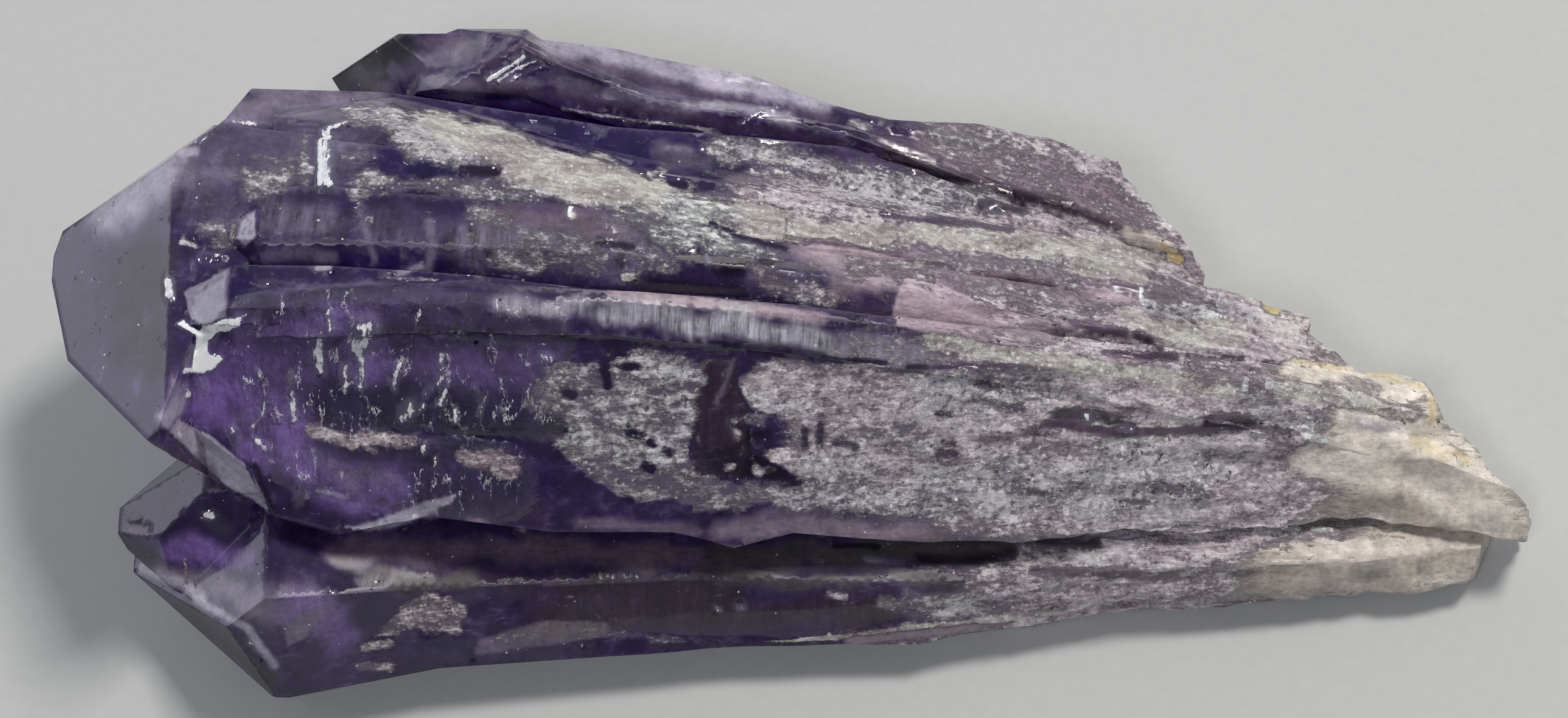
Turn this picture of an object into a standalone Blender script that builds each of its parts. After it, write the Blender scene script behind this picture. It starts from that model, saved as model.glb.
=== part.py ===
"""Raw amethyst: a fan of quartz crystals grown together, lying on one flat prism face.

Drawing frame, in millimetres: +X runs from the terminations on the left to the broken root on the right,
+Y to the back, +Z up from the floor. The finished solid is moved so that its origin is at the middle of its
bounding box, on the floor.
"""

import math

import bmesh
import bpy
from mathutils import Matrix, Vector, noise
from mathutils.bvhtree import BVHTree

NAME = "amethyst_crystal"
MM = 0.001

# How far the faces of a rhombohedral tip lean from the prism faces they stand on.
TIP_LEAN = math.radians(38.2)

# Spacing of the cuts that give the faces enough points to be roughened.
GRAIN = 5.0

# The ribs fan out from this point beyond the root.
HUB = (178.0, -13.0)


class Section:
    """A six-sided slice across a crystal: a flat top, sides leaning out to a waist, then in to the bottom.

    A lean is how far a side runs outwards for each millimetre it drops. 0.58 is the true angle of quartz.
    """

    def __init__(
        self, x, top, back, front, waist, bottom, back_lean=0.58, front_lean=0.58, back_waist=None, under=0.58
    ):
        if back_waist is None:
            back_waist = waist
        back_out = back + back_lean * (top - back_waist)
        front_out = front - front_lean * (top - waist)
        back_in = back_out - 0.58 * (back_waist - bottom)
        front_in = front_out + under * (waist - bottom)
        middle = (back_in + front_in) / 2
        self.x = x
        self.corners = (
            (back_out, back_waist),
            (back, top),
            (front, top),
            (front_out, waist),
            (min(front_in, middle - 1), bottom),
            (max(back_in, middle + 1), bottom),
        )


def facet(x, y, z, azimuth, lean=TIP_LEAN, yaw=0.0):
    """A tip face through x, y, z. Azimuth 90 faces up, 0 the back, 180 the front; yaw turns it about Z."""
    turn = math.radians(azimuth)
    normal = Vector((-math.sin(lean), math.cos(lean) * math.cos(turn), math.cos(lean) * math.sin(turn)))
    normal.rotate(Matrix.Rotation(math.radians(yaw), 3, "Z"))
    return Vector((x, y, z)), normal


def face(x, y, z, *normal):
    """A face through x, y, z with this outward direction."""
    return Vector((x, y, z)), Vector(normal).normalized()


def trim(mesh, point, normal):
    """Cut a closed solid by a plane, drop what lies beyond it and close the cut."""
    whole = mesh.verts[:] + mesh.edges[:] + mesh.faces[:]
    made = bmesh.ops.bisect_plane(mesh, geom=whole, dist=1e-4, plane_co=point, plane_no=normal, clear_outer=True)
    edges = [item for item in made["geom_cut"] if isinstance(item, bmesh.types.BMEdge)]
    if edges:
        bmesh.ops.contextual_create(mesh, geom=edges)


def crystal(name, sections, cuts=()):
    """One six-sided crystal drawn through its sections, from tip to root, and trimmed by its cuts."""
    mesh = bmesh.new()
    bmesh.ops.create_cone(mesh, cap_ends=True, segments=6, radius1=1, radius2=1, depth=2)
    corner = mesh.verts.layers.int.new("corner")
    for vert in mesh.verts:
        vert[corner] = round(math.degrees(math.atan2(vert.co.y, vert.co.x)) / 60 - 0.5) % 6
    cap = next(item for item in mesh.faces if item.normal.z < -0.5)
    rings = [[vert for vert in mesh.verts if vert.co.z > 0], list(cap.verts)]
    for _ in sections[2:]:
        made = bmesh.ops.extrude_face_region(mesh, geom=[cap])
        bmesh.ops.delete(mesh, geom=[cap], context="FACES_ONLY")
        cap = next(item for item in made["geom"] if isinstance(item, bmesh.types.BMFace))
        rings.append(list(cap.verts))
    for ring, section in zip(rings, sections):
        for vert in ring:
            across, up = section.corners[vert[corner]]
            vert.co = (section.x, across, up)
    bmesh.ops.triangulate(mesh, faces=[item for item in mesh.faces if len(item.verts) == 4])
    bmesh.ops.recalc_face_normals(mesh, faces=mesh.faces)
    for point, normal in cuts:
        trim(mesh, point, normal)
    bmesh.ops.recalc_face_normals(mesh, faces=mesh.faces)
    data = bpy.data.meshes.new(name)
    mesh.to_mesh(data)
    mesh.free()
    solid = bpy.data.objects.new(name, data)
    solid.hide_render = True
    solid.display_type = "WIRE"
    return solid


def all_crystals():
    """The crystals that make the fan, from the big main one to the small ones it carries."""
    return [
        crystal(
            "main",
            [
                Section(-86, 36.0, 18.3, -17.3, 34.5, 0, back_waist=28, under=0.25),
                Section(-59.6, 36.0, 18.3, -16.4, 34.0, 0, back_waist=28, under=0.25),
                Section(-57.2, 36.0, 18.1, -6.5, 20, 0, back_waist=28, under=0.3),
                Section(-17, 33.5, 14.5, -6.0, 22, 0, back_waist=24),
                Section(10, 29.0, 12.0, -4.0, 16, 0, back_waist=18),
                Section(40, 21.0, 8.5, -3.0, 11, 0),
                Section(62, 16.0, 1.0, -5.0, 9, 2),
            ],
            [
                facet(-60.2, 0, 36, 90, yaw=4),
                face(-61.1, 14.1, 36.1, -0.56, 0.61, 0.56),
                face(-64.4, -12.9, 32.0, -0.63, -0.70, -0.34),
                face(-72.5, -0.5, 26.3, -0.88, -0.33, -0.34),
                face(-74.3, 10.4, 25.5, -0.90, 0.35, -0.20),
                facet(-74.5, 6.0, 25.0, 270),
                facet(-72.0, 12.0, 22.0, 330),
                facet(-57.0, -14.0, 12.0, 210),
                face(56.5, 2.3, 17, 0.62, 0.72, 0.30),
            ],
        ),
        crystal(
            "back ledge",
            [
                Section(-70, 31.0, 26.4, 8, 22, 8),
                Section(-41, 30.5, 25.8, 8, 22, 7),
                Section(-18, 29.0, 22.6, 6, 21, 6),
                Section(7, 25.5, 22.2, 4, 18, 4),
                Section(45, 17.0, 12.0, 0, 11, 3),
            ],
            [
                face(-56.2, 24.1, 31.0, -0.80, 0.50, 0.33),
                facet(-60.0, 20, 20, 270),
                facet(-58.0, 18, 24, 210),
                face(41.0, 13.5, 18, 0.75, 0.60, 0.25),
            ],
        ),
        crystal(
            "back",
            [
                Section(-60, 27.3, 35.6, 33.5, 20, 10),
                Section(-34, 27.6, 35.3, 31.0, 20, 9),
                Section(-18, 27.6, 33.5, 28.5, 19, 8),
                Section(-3, 26.0, 31.0, 26.5, 18, 6),
                Section(11, 23.8, 26.6, 23.8, 17, 5),
                Section(20, 22.6, 27.0, 21.0, 16, 5),
                Section(29, 21.2, 25.6, 18.0, 15, 5),
                Section(44, 18.5, 21.0, 13.0, 12, 4),
            ],
            [
                face(-48.2, 32.2, 23.5, -0.56, 0.62, 0.55),
                facet(-41.2, 34.3, 26.9, 150),
                facet(-49.0, 33.0, 18.0, 270),
                face(37.9, 19.5, 20.0, 0.80, 0.54, 0.28),
            ],
        ),
        crystal(
            "back peak",
            [
                Section(-45, 31.2, 32.8, 31.6, 28, 16, back_lean=0.9, front_lean=0.9),
                Section(-27.3, 31.0, 32.6, 31.6, 27, 14, back_lean=0.9, front_lean=0.9),
                Section(-23, 29.8, 30.5, 29.5, 26, 14, back_lean=0.7, front_lean=0.7),
                Section(-14, 28.4, 27.4, 26.4, 25, 12),
                Section(7, 25.9, 24.4, 23.4, 22, 10),
                Section(24, 22.0, 19.5, 18.5, 18, 8),
            ],
            [facet(-27.3, 32.6, 31.0, 84, lean=math.radians(24)), face(-38.0, 31.0, 27.0, -0.9, 0.1, 0.4)],
        ),
        crystal(
            "rough band",
            [
                Section(-52, 34.0, 20.0, 17.5, 30, 22, back_lean=1.1),
                Section(-40, 36.7, 17.2, 15.2, 31, 22, back_lean=1.35),
                Section(-24, 35.3, 12.7, 10.7, 30, 20, back_lean=1.5),
                Section(-14, 33.8, 11.3, 9.3, 29, 18, back_lean=1.5),
                Section(7, 29.8, 11.5, 7.5, 25, 14, back_lean=1.3),
                Section(28, 25.5, 10.5, 5.5, 20, 10, back_lean=0.9),
                Section(54, 18.5, 5.5, 1.5, 14, 6),
            ],
            [
                facet(-45.0, 19, 35.6, 90, lean=math.radians(24), yaw=28),
                face(53.1, 8.2, 18, 0.60, 0.74, 0.30),
            ],
        ),
        crystal(
            "step",
            [
                Section(-60, 37.1, 17.0, 6.0, 34, 28),
                Section(-30, 36.6, 14.0, 6.0, 32, 24),
                Section(0, 32.5, 9.0, 5.0, 28, 20),
            ],
            [facet(-44.7, 13, 37.1, 90)],
        ),
        crystal(
            "centre",
            [
                Section(-62, 38.2, 9.0, 2.6, 33, 26, front_lean=0.9),
                Section(-45, 38.2, 9.2, 2.8, 33, 26, front_lean=0.9),
                Section(-17, 36.4, 7.4, 2.6, 30, 22, front_lean=1.1),
                Section(2, 33.2, 5.5, 2.0, 27, 20, front_lean=1.1),
                Section(30, 26.5, 4.0, 0.5, 21, 12),
                Section(55, 19.5, 1.5, -1.0, 15, 8),
            ],
            [
                facet(-52.0, 4, 38.2, 90, yaw=10),
                facet(-50.5, 8.4, 38.2, 30, yaw=-8),
                facet(-51.8, 2.9, 38.2, 150, yaw=0),
                face(55.5, 2.5, 18, 0.70, 0.60, 0.30),
            ],
        ),
        crystal(
            "small step",
            [
                Section(-66, 39.2, -0.4, -5.8, 38.2, 30, front_lean=1.0, back_waist=35),
                Section(-44, 38.8, -0.4, -5.0, 37.8, 30, front_lean=1.0, back_waist=35),
                Section(-30, 37.2, -0.5, -5.0, 32, 26),
                Section(10, 30.0, -1.0, -5.0, 26, 20),
            ],
            [
                facet(-53.6, -3, 39.2, 90, yaw=2),
                facet(-53.5, -0.6, 39.2, 30, yaw=-12),
            ],
        ),
        crystal(
            "ridge",
            [
                Section(-52.5, 37.0, -4.6, -5.4, 36.2, 30, front_lean=1.4, back_waist=34),
                Section(-46, 39.3, -3.6, -5.2, 37.6, 30, front_lean=1.4, back_waist=35),
                Section(-31, 39.5, -2.6, -4.9, 37.9, 30, front_lean=1.4, back_waist=35),
                Section(-17, 37.8, -2.7, -4.0, 36.0, 28, front_lean=1.4, back_waist=33),
                Section(1, 34.9, -2.5, -3.7, 32.6, 25, front_lean=1.4, back_waist=30),
                Section(14, 31.8, -2.4, -3.4, 29.4, 20, front_lean=1.4, back_waist=27),
                Section(37, 25.9, -2.4, -3.8, 22.6, 14, front_lean=1.05, back_waist=21),
                Section(68, 15.6, -0.8, -4.5, 12.0, 6, front_lean=1.0, back_waist=11),
            ],
            [face(66.7, -2.0, 15, 0.85, 0.30, 0.42)],
        ),
        crystal(
            "front",
            [
                Section(-66, 38.0, -2.5, -5.0, 31.5, 28, front_lean=0.84, under=0.05),
                Section(-58.8, 37.9, -2.5, -5.2, 29.5, 24, front_lean=0.84, under=0.05),
                Section(-52.4, 37.7, -2.5, -5.3, 25.3, 20, front_lean=0.84, under=0.05),
                Section(-50.4, 37.6, -2.5, -5.4, 21.6, 12, front_lean=0.84, under=0.3),
                Section(-44, 37.5, -2.5, -5.6, 20.2, 9, front_lean=0.84, under=0.75),
                Section(-35.5, 37.4, -2.5, -5.8, 21.8, 8, front_lean=0.84, under=0.75),
                Section(-23, 36.6, -2.5, -6.4, 20.6, 7, front_lean=0.84, under=0.9),
                Section(-11, 34.8, -2.3, -6.5, 19.3, 6, front_lean=0.84, under=1.0),
                Section(-5, 33.6, -2.2, -6.6, 17.3, 5, front_lean=0.84, under=1.1),
                Section(1, 32.4, -2.0, -6.7, 17.8, 5, front_lean=0.84, under=1.1),
                Section(15, 29.3, -1.8, -6.2, 15.0, 4, front_lean=0.84, under=1.1),
                Section(25, 27.0, -1.5, -5.8, 13.8, 3, front_lean=0.84, under=1.0),
                Section(43, 21.5, -1.5, -6.2, 10.9, 1.5, front_lean=0.84, under=0.9),
                Section(60, 16.0, -1.0, -6.6, 9.0, 1.0, front_lean=0.84),
                Section(78, 11.5, -8.0, -12.0, 8.2, 1.5, front_lean=0.84),
            ],
            [
                facet(-55.6, -6.7, 35.5, 92, lean=math.radians(36)),
                face(-59.4, -11.0, 31.0, -0.88, -0.30, 0.36),
                face(68.7, -3.5, 12.0, 0.74, 0.60, 0.30),
                face(76.3, -14.0, 9.0, 0.93, -0.10, 0.20),
            ],
        ),
        crystal(
            "low",
            [
                Section(-72, 19.8, -8.0, -14.6, 11, 3, front_lean=0.80),
                Section(-54, 19.8, -8.0, -15.0, 11, 3, front_lean=0.80),
                Section(-38, 15.0, -6.0, -10.5, 9, 2, front_lean=0.80),
                Section(-15, 11.0, -5.0, -8.5, 6, 1, front_lean=0.80),
            ],
            [
                facet(-67.6, -15.7, 12.0, 90, yaw=4),
                face(-65.2, -12.4, 14.1, -0.56, 0.61, 0.56),
                facet(-67.4, -16.0, 12.2, 150),
                facet(-67.0, -15.0, 11.0, 270),
                facet(-66.5, -17.0, 10.0, 210),
            ],
        ),
        crystal(
            "foot",
            [
                Section(-70, 18.5, -14.0, -26.0, 8.0, 1.0, front_lean=0.50),
                Section(-50, 18.4, -14.0, -26.3, 6.5, 0.8, front_lean=0.45),
                Section(-35, 14.8, -12.0, -23.4, 6.5, 0.6, front_lean=0.60),
                Section(-8, 12.8, -10.0, -21.3, 5.5, 0.5, front_lean=0.60),
                Section(14, 11.3, -9.0, -21.2, 5.0, 0.5, front_lean=0.58),
                Section(40, 9.0, -8.0, -18.2, 4.5, 0.4, front_lean=0.60),
                Section(58, 7.5, -8.0, -17.0, 4.0, 0.6, front_lean=0.70),
                Section(74, 6.5, -9.0, -14.5, 3.6, 1.6, front_lean=0.70),
            ],
            [
                facet(-66.3, -17.7, 7.0, 90, yaw=4),
                face(-58.8, -24.8, 11.0, -0.66, -0.74, 0.02),
                facet(-66.0, -18.0, 5.5, 270),
                facet(-60.0, -22.0, 3.0, 210),
                face(72.5, -14.0, 5.0, 0.80, -0.45, 0.10),
            ],
        ),
    ]


def joined(pieces):
    """One mesh: the union of all the crystals."""
    first = pieces[0]
    for other in pieces[1:]:
        union = first.modifiers.new("join " + other.name, "BOOLEAN")
        union.operation = "UNION"
        union.object = other
        union.solver = "EXACT"
    bpy.context.view_layer.update()
    graph = bpy.context.evaluated_depsgraph_get()
    return bpy.data.meshes.new_from_object(first.evaluated_get(graph))


def fan(point):
    """Where a point lies on the fan of ribs: along a rib, across the ribs, and up."""
    reach = Vector((HUB[0] - point.x, point.y - HUB[1]))
    return Vector((reach.length, HUB[0] * math.atan2(reach.y, reach.x), point.z))


def soft(value, low, high):
    """0 below low, 1 above high and a smooth rise between."""
    share = min(max((value - low) / (high - low), 0), 1)
    return share * share * (3 - 2 * share)


def roughness(point):
    """How far the surface may wander here: the tips are flat, the middle ribbed and the root lumpy."""
    middle = 0.35 * soft(point.x, -46, -12)
    root = 0.55 * soft(point.x, 4, 44)
    rest = soft(point.z, 0.2, 2.0)
    return (middle + root) * rest


def room(tree, point, normal):
    """How far a point may move: a quarter of the gap to the next face, inwards or outwards."""
    free = 8.0
    for way in (normal, -normal):
        hit = tree.ray_cast(point + way * 0.02, way, free)
        if hit[0] is not None:
            free = min(free, hit[3])
    return free / 4


def crossing(work):
    """The points of faces that cross a face they do not touch."""
    tree = BVHTree.FromBMesh(work)
    work.faces.ensure_lookup_table()
    found = set()
    for one, two in tree.overlap(tree):
        first = set(work.faces[one].verts)
        second = set(work.faces[two].verts)
        if not first & second:
            found |= first | second
    return found


def roughened(mesh):
    """Cut the faces up every GRAIN and move the points in and out along ribs and lumps."""
    work = bmesh.new()
    work.from_mesh(mesh)
    bmesh.ops.dissolve_limit(work, angle_limit=math.radians(0.3), verts=work.verts, edges=work.edges)
    for axis, low, high, step in ((0, -44, 76, GRAIN), (1, -30, 40, GRAIN), (2, 4, 40, GRAIN)):
        normal = Vector([float(axis == index) for index in range(3)])
        at = low
        while at < high:
            whole = work.verts[:] + work.edges[:] + work.faces[:]
            bmesh.ops.bisect_plane(work, geom=whole, dist=0.05, plane_co=normal * at, plane_no=normal)
            at += step
    bmesh.ops.remove_doubles(work, verts=work.verts, dist=0.1)
    bmesh.ops.dissolve_degenerate(work, edges=work.edges, dist=0.05)
    bmesh.ops.triangulate(work, faces=work.faces)
    work.normal_update()
    tree = BVHTree.FromBMesh(work)
    moves = []
    for vert in work.verts:
        along, across, up = fan(vert.co)
        ribs = noise.noise(Vector((along * 0.035, across * 0.30, up * 0.30)))
        lumps = noise.noise(vert.co * 0.13 + Vector((7.1, 3.3, 0.4)))
        share = soft(vert.co.x, 30, 60)
        height = ribs * (1 - share) * 1.6 + lumps * (0.6 + 1.4 * share)
        limit = room(tree, vert.co, vert.normal)
        moves.append(vert.normal * min(max(height * roughness(vert.co), -limit), limit))
    before = {vert: vert.co.copy() for vert in work.verts}
    for vert, move in zip(work.verts, moves):
        vert.co += move
        vert.co.z = max(vert.co.z, 0)
    for _ in range(8):
        for vert in crossing(work):
            vert.co = before[vert]
    bmesh.ops.recalc_face_normals(work, faces=work.faces)
    work.to_mesh(mesh)
    work.free()


def settle(mesh):
    """To metres, with the origin at the middle of the box, on the floor."""
    points = [vert.co for vert in mesh.vertices]
    low = Vector([min(point[axis] for point in points) for axis in range(3)])
    high = Vector([max(point[axis] for point in points) for axis in range(3)])
    middle = (low + high) / 2
    mesh.transform(Matrix.Translation((-middle.x, -middle.y, -low.z)))
    mesh.transform(Matrix.Scale(MM, 4))


def amethyst_material():
    material = bpy.data.materials.new("amethyst")
    material.use_nodes = True
    shader = material.node_tree.nodes["Principled BSDF"]
    shader.inputs["Base Color"].default_value = (0.16, 0.10, 0.25, 1)
    shader.inputs["Roughness"].default_value = 0.25
    shader.inputs["Metallic"].default_value = 0.0
    return material


def collection(name):
    made = bpy.data.collections.new(name)
    bpy.context.scene.collection.children.link(made)
    return made


def main():
    for thing in list(bpy.data.objects):
        bpy.data.objects.remove(thing)
    helpers = collection("single crystals")
    pieces = all_crystals()
    for piece in pieces:
        helpers.objects.link(piece)
    mesh = joined(pieces)
    roughened(mesh)
    settle(mesh)
    mesh.name = NAME
    mesh.materials.clear()
    mesh.materials.append(amethyst_material())
    solid = bpy.data.objects.new(NAME, mesh)
    collection("amethyst").objects.link(solid)


main()
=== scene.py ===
"""A raw amethyst lying on a pale table: clear violet tips, milky growth bands and a broken tan root."""

import math
from functools import reduce
from types import SimpleNamespace

import bpy
import numpy as np
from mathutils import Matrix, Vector, noise
from mathutils.bvhtree import BVHTree


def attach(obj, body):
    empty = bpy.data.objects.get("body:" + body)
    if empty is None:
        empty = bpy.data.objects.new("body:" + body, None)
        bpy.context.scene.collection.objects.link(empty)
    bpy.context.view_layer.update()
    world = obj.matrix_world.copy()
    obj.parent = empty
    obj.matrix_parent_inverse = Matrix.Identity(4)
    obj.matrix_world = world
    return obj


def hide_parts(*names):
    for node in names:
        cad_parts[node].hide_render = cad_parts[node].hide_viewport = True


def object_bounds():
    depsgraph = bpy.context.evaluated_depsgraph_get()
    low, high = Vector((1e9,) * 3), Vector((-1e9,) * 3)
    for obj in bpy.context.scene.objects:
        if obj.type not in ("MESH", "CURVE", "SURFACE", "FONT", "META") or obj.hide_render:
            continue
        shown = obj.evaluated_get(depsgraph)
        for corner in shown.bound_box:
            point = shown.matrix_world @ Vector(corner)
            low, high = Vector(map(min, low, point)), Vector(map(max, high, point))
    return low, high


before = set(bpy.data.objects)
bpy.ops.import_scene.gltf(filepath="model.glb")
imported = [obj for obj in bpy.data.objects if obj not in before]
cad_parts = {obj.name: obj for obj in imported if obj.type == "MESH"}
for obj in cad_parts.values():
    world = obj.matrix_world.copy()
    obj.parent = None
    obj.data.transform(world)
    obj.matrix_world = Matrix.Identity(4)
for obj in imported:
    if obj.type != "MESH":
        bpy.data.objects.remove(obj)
cad_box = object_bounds()

# The frayed edges of the marks are random; this picks one set of them for every run.
NOISE_SET = 3
noise.seed_set(NOISE_SET)

NODE = "amethyst_crystal"
MM = 0.001

# The photograph looks down on the stone at this angle, from this far away.
VIEW_UP = math.radians(60)
VIEW_REACH = 325 * MM
VIEW_AIM = Vector((-1.88, -4.03, 20)) * MM
VIEW_LENS = 73
SENSOR = 36
PHOTO_WIDE = 2576
PHOTO_HIGH = 1179
PIXELS_PER_MM = 16

# A distance away from the camera counts this much beside one across it, and a patch reaches this far away,
# counted so.
DEPTH_SHARE = 0.2
DEEP_REACH = 2.2

# The ribs fan out from this point beyond the root, in millimetres.
HUB = (176.1, -17.0)

# Longest edges of the fine mesh, in millimetres: at thin marks, on top, and underneath. They are reached in
# at most this many rounds of cutting.
MARK_EDGE = 0.40
TOP_EDGE = 1.08
UNDER_EDGE = 1.7
CUTS = 8

# Underneath is where the stone faces down by this share, or lies lower than this, in millimetres.
FACES_DOWN = -0.3
FOOT = 1.5

# Marks this thin get the short edges, out to this far beside them, looked for within the last distance.
THIN = 0.55
BESIDE = 0.25
AROUND = 2

# Wider marks than this are frayed more.
BROAD = 0.82

# A patch's edge is this soft; a white patch fades from further inside.
EDGE_BLUR = 0.3
RIM_SHARE = 0.35

# A ray that misses the stone by less than this is taken to its rim, looked for at these shares of the way.
RIM_REACH = 3 * MM
RIM_LOOKS = np.linspace(0.86, 1.14, 15)

# Points of the solid that are this close are one; edges sharper than the first angle are worn, and
# faces that meet at less than the second are shaded as one.
SAME_POINT = 0.002 * MM
WORN_ANGLE = math.radians(24)
SMOOTH_ANGLE = math.radians(20)

# Further away than any place; a rise in place of none; and the length of a route of one place.
NOWHERE = 1e9
TINY = 1e-9
DOT = 0.01


def linear(code):
    """A colour written as sRGB hex, turned linear by the sRGB curve, and opaque."""
    channels = [int(code[i : i + 2], 16) / 255 for i in (1, 3, 5)]
    return [c / 12.92 if c <= 0.04045 else ((c + 0.055) / 1.055) ** 2.4 for c in channels] + [1.0]


# The crystal's colour: colour, cloudiness, roughness, and fine lines across the ribs, or wispy veils
# where that is less than 0. Some finishes also paint light and shade: the light violet paints light shining
# through thin quartz, gloom paints shade, the darker root finish is the root's colour with its painted
# shade, and slate and pale carry painted sheen and highlights where marked.
BODIES = {
    "glass": ("#503a78", 0.32, 0.07, 0.0),
    "grape": ("#9878c6", 0.62, 0.12, 0.4),
    "deep": ("#2c1a5c", 0.50, 0.08, 0.0),
    "ink": ("#191226", 0.75, 0.12, 0.0),
    "smoke": ("#343033", 0.85, 0.25, 0.0),
    "gloom": ("#474246", 0.90, 0.50, 0.0),
    "olive": ("#33383a", 0.80, 0.15, 0.1),
    "wine": ("#38283a", 0.85, 0.20, 0.5),
    "plum": ("#4e3b55", 0.80, 0.20, 0.2),
    "band": ("#2b1a48", 0.80, 0.22, 0.0),
    "russet": ("#6a5866", 0.85, 0.35, 0.2),
    "mauve": ("#81778c", 0.80, 0.14, 0.0),
    "haze": ("#7d768a", 0.75, 0.20, 0.0),
    "veil": ("#6c657e", 0.65, 0.20, -1.0),
    "slate": ("#9f9ca9", 0.90, 0.25, 1.0),
    "pale": ("#b9b3c4", 0.92, 0.20, 0.0),
    "lilac": ("#ab98a5", 0.95, 0.40, 0.1),
    "pink": ("#94858f", 0.95, 0.35, 0.1),
    "rose": ("#a08c98", 0.95, 0.50, 0.2),
    "rough": ("#7f6a79", 0.95, 0.55, 0.1),
    "tan": ("#e2d9ce", 0.95, 0.40, 0.1),
    "brown": ("#a0968e", 0.95, 0.40, 0.1),
    "chalk": ("#e0d8d1", 0.95, 0.40, 0.0),
    "rust": ("#c9b67c", 1.00, 0.50, 0.0),
}

# On these some crumbs of the white growth stay.
CRUMBED = ("rose", "russet", "pink", "rough", "haze", "slate", "lilac", "brown")
CRUMBS_STAY = 0.55

# White growth over it: colour, how thickly it covers, roughness, grit, and how much it varies.
COVERS = {
    "milk": ("#c3b8bf", 0.93, 0.38, 0.8, 0.6),
    "frost": ("#bdbac1", 0.92, 0.38, 1.0, 0.65),
    "cream": ("#bab7b1", 1.20, 0.50, 0.8, 0.35),
    "lime": ("#d6cfcb", 1.00, 0.38, 0.7, 0.3),
    "ash": ("#9ca0a2", 0.90, 0.45, 0.7, 1.0),
    "rosy": ("#b7a6b0", 0.85, 0.35, 0.9, 0.9),
}

# Painted highlights: white glints where broken faces would catch the light, and how whole they are.
GLINTS = {"silver": 1.0, "chip": 1.3}

# Marks on the stone: finish, half-width in millimetres, strength, and the pixels of the photograph they
# run through. A mark with no width is a patch inside those pixels. Later marks lie over earlier ones.
# The glint marks are painted highlights.
# The milky right half.
MILKY_HALF = [
    ("milk", 6.5, 0.85, (1390, 660), (1700, 690), (2080, 720)),
    ("milk", 5.0, 0.85, (1500, 790), (1850, 800), (2150, 800)),
    ("milk", 3.8, 0.8, (1250, 330), (1550, 340), (1850, 395)),
    ("milk", 3.8, 0.8, (1600, 560), (1900, 590), (2150, 640)),
    ("frost", 2.2, 0.75, (1300, 815), (1650, 800), (1950, 800)),
    ("frost", 1.8, 0.55, (1420, 640), (1560, 650), (1700, 640)),
    ("frost", 1.6, 0.55, (1820, 740), (1950, 760), (2080, 740)),
    ("rose", 2.8, 0.7, (1330, 400), (1500, 440), (1700, 450), (1950, 500)),
    ("milk", 2.5, 0.6, (1800, 930), (2000, 935)),
    ("milk", 0, 0.82, (1244, 589), (1330, 592), (1459, 600), (1500, 640), (1500, 790), (1330, 787),
     (1298, 778), (1258, 750), (1262, 735), (1300, 722), (1295, 703), (1270, 691), (1264, 678),
     (1238, 675), (1221, 655), (1215, 628), (1241, 606)),
    ("frost", 0.5, 0.85, (1222, 655), (1262, 672), (1330, 668)),
    ("smoke", 0.5, 0.65, (1348, 698), (1346, 724)),
    ("smoke", 0.5, 0.65, (1322, 708), (1322, 736)),
    ("smoke", 0.5, 0.6, (1372, 726), (1404, 734)),
    ("russet", 1.2, 0.6, (1400, 700), (1480, 720)),
    ("frost", 1.2, 0.5, (1330, 750), (1420, 770)),
    ("milk", 3.5, 0.6, (2000, 640), (2080, 720), (2120, 780)),
    ("frost", 1.0, 0.85, (2060, 660), (2150, 690), (2200, 700)),
    ("milk", 1.4, 0.7, (1500, 990), (1700, 985), (1900, 975)),
    ("ink", 0.8, 0.9, (1225, 715), (1262, 712)),
    ("ink", 0.9, 0.95, (1220, 720), (1218, 772)),
    ("ink", 1.0, 0.95, (1245, 765), (1298, 782)),
    ("haze", 0.6, 0.6, (1470, 700), (1510, 708)),
    ("ink", 0.4, 0.6, (1540, 680), (1560, 682)),
    ("ink", 0.4, 0.6, (1550, 728), (1565, 728)),
    ("ink", 0.8, 0.76, (1740, 680), (1800, 682), (1860, 698)),
    ("plum", 0.5, 0.8, (1720, 695), (1850, 712), (2060, 700)),
    ("ink", 0.7, 0.68, (1985, 690), (2050, 690)),
    ("smoke", 0.4, 0.6, (2075, 705), (2114, 710)),
    ("frost", 0.5, 0.9, (1726, 782), (1756, 795)),
    ("silver", 0.4, 0.8, (1805, 735), (1854, 748)),
    ("silver", 0.35, 0.9, (1786, 684), (1792, 690)),
    ("silver", 0.3, 0.8, (1840, 700), (1858, 704)),
    ("silver", 0.3, 0.8, (1778, 770), (1802, 764)),
    ("silver", 0.3, 0.75, (1960, 600), (1990, 606)),
    ("silver", 0.3, 0.75, (1640, 700), (1660, 706)),
    ("silver", 0.3, 0.75, (1730, 845), (1760, 842)),
    ("frost", 0.4, 0.9, (1530, 618), (1580, 624)),
    ("frost", 0.5, 0.9, (1640, 768), (1672, 772)),
    ("frost", 0.5, 0.9, (1858, 728), (1900, 742)),
    ("frost", 0.4, 0.9, (1500, 735), (1540, 740)),
    ("frost", 0.5, 0.9, (1960, 770), (2010, 780)),
    ("smoke", 0.4, 0.6, (1690, 808), (1715, 812)),
    ("smoke", 0.35, 0.6, (1545, 742), (1570, 746)),
    ("smoke", 0.4, 0.55, (1840, 822), (1880, 826)),
    ("smoke", 0.35, 0.6, (1612, 632), (1640, 636)),
    ("plum", 0.5, 0.5, (1600, 655), (1680, 672)),
    ("plum", 0.5, 0.5, (1900, 800), (1990, 812)),
]
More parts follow.
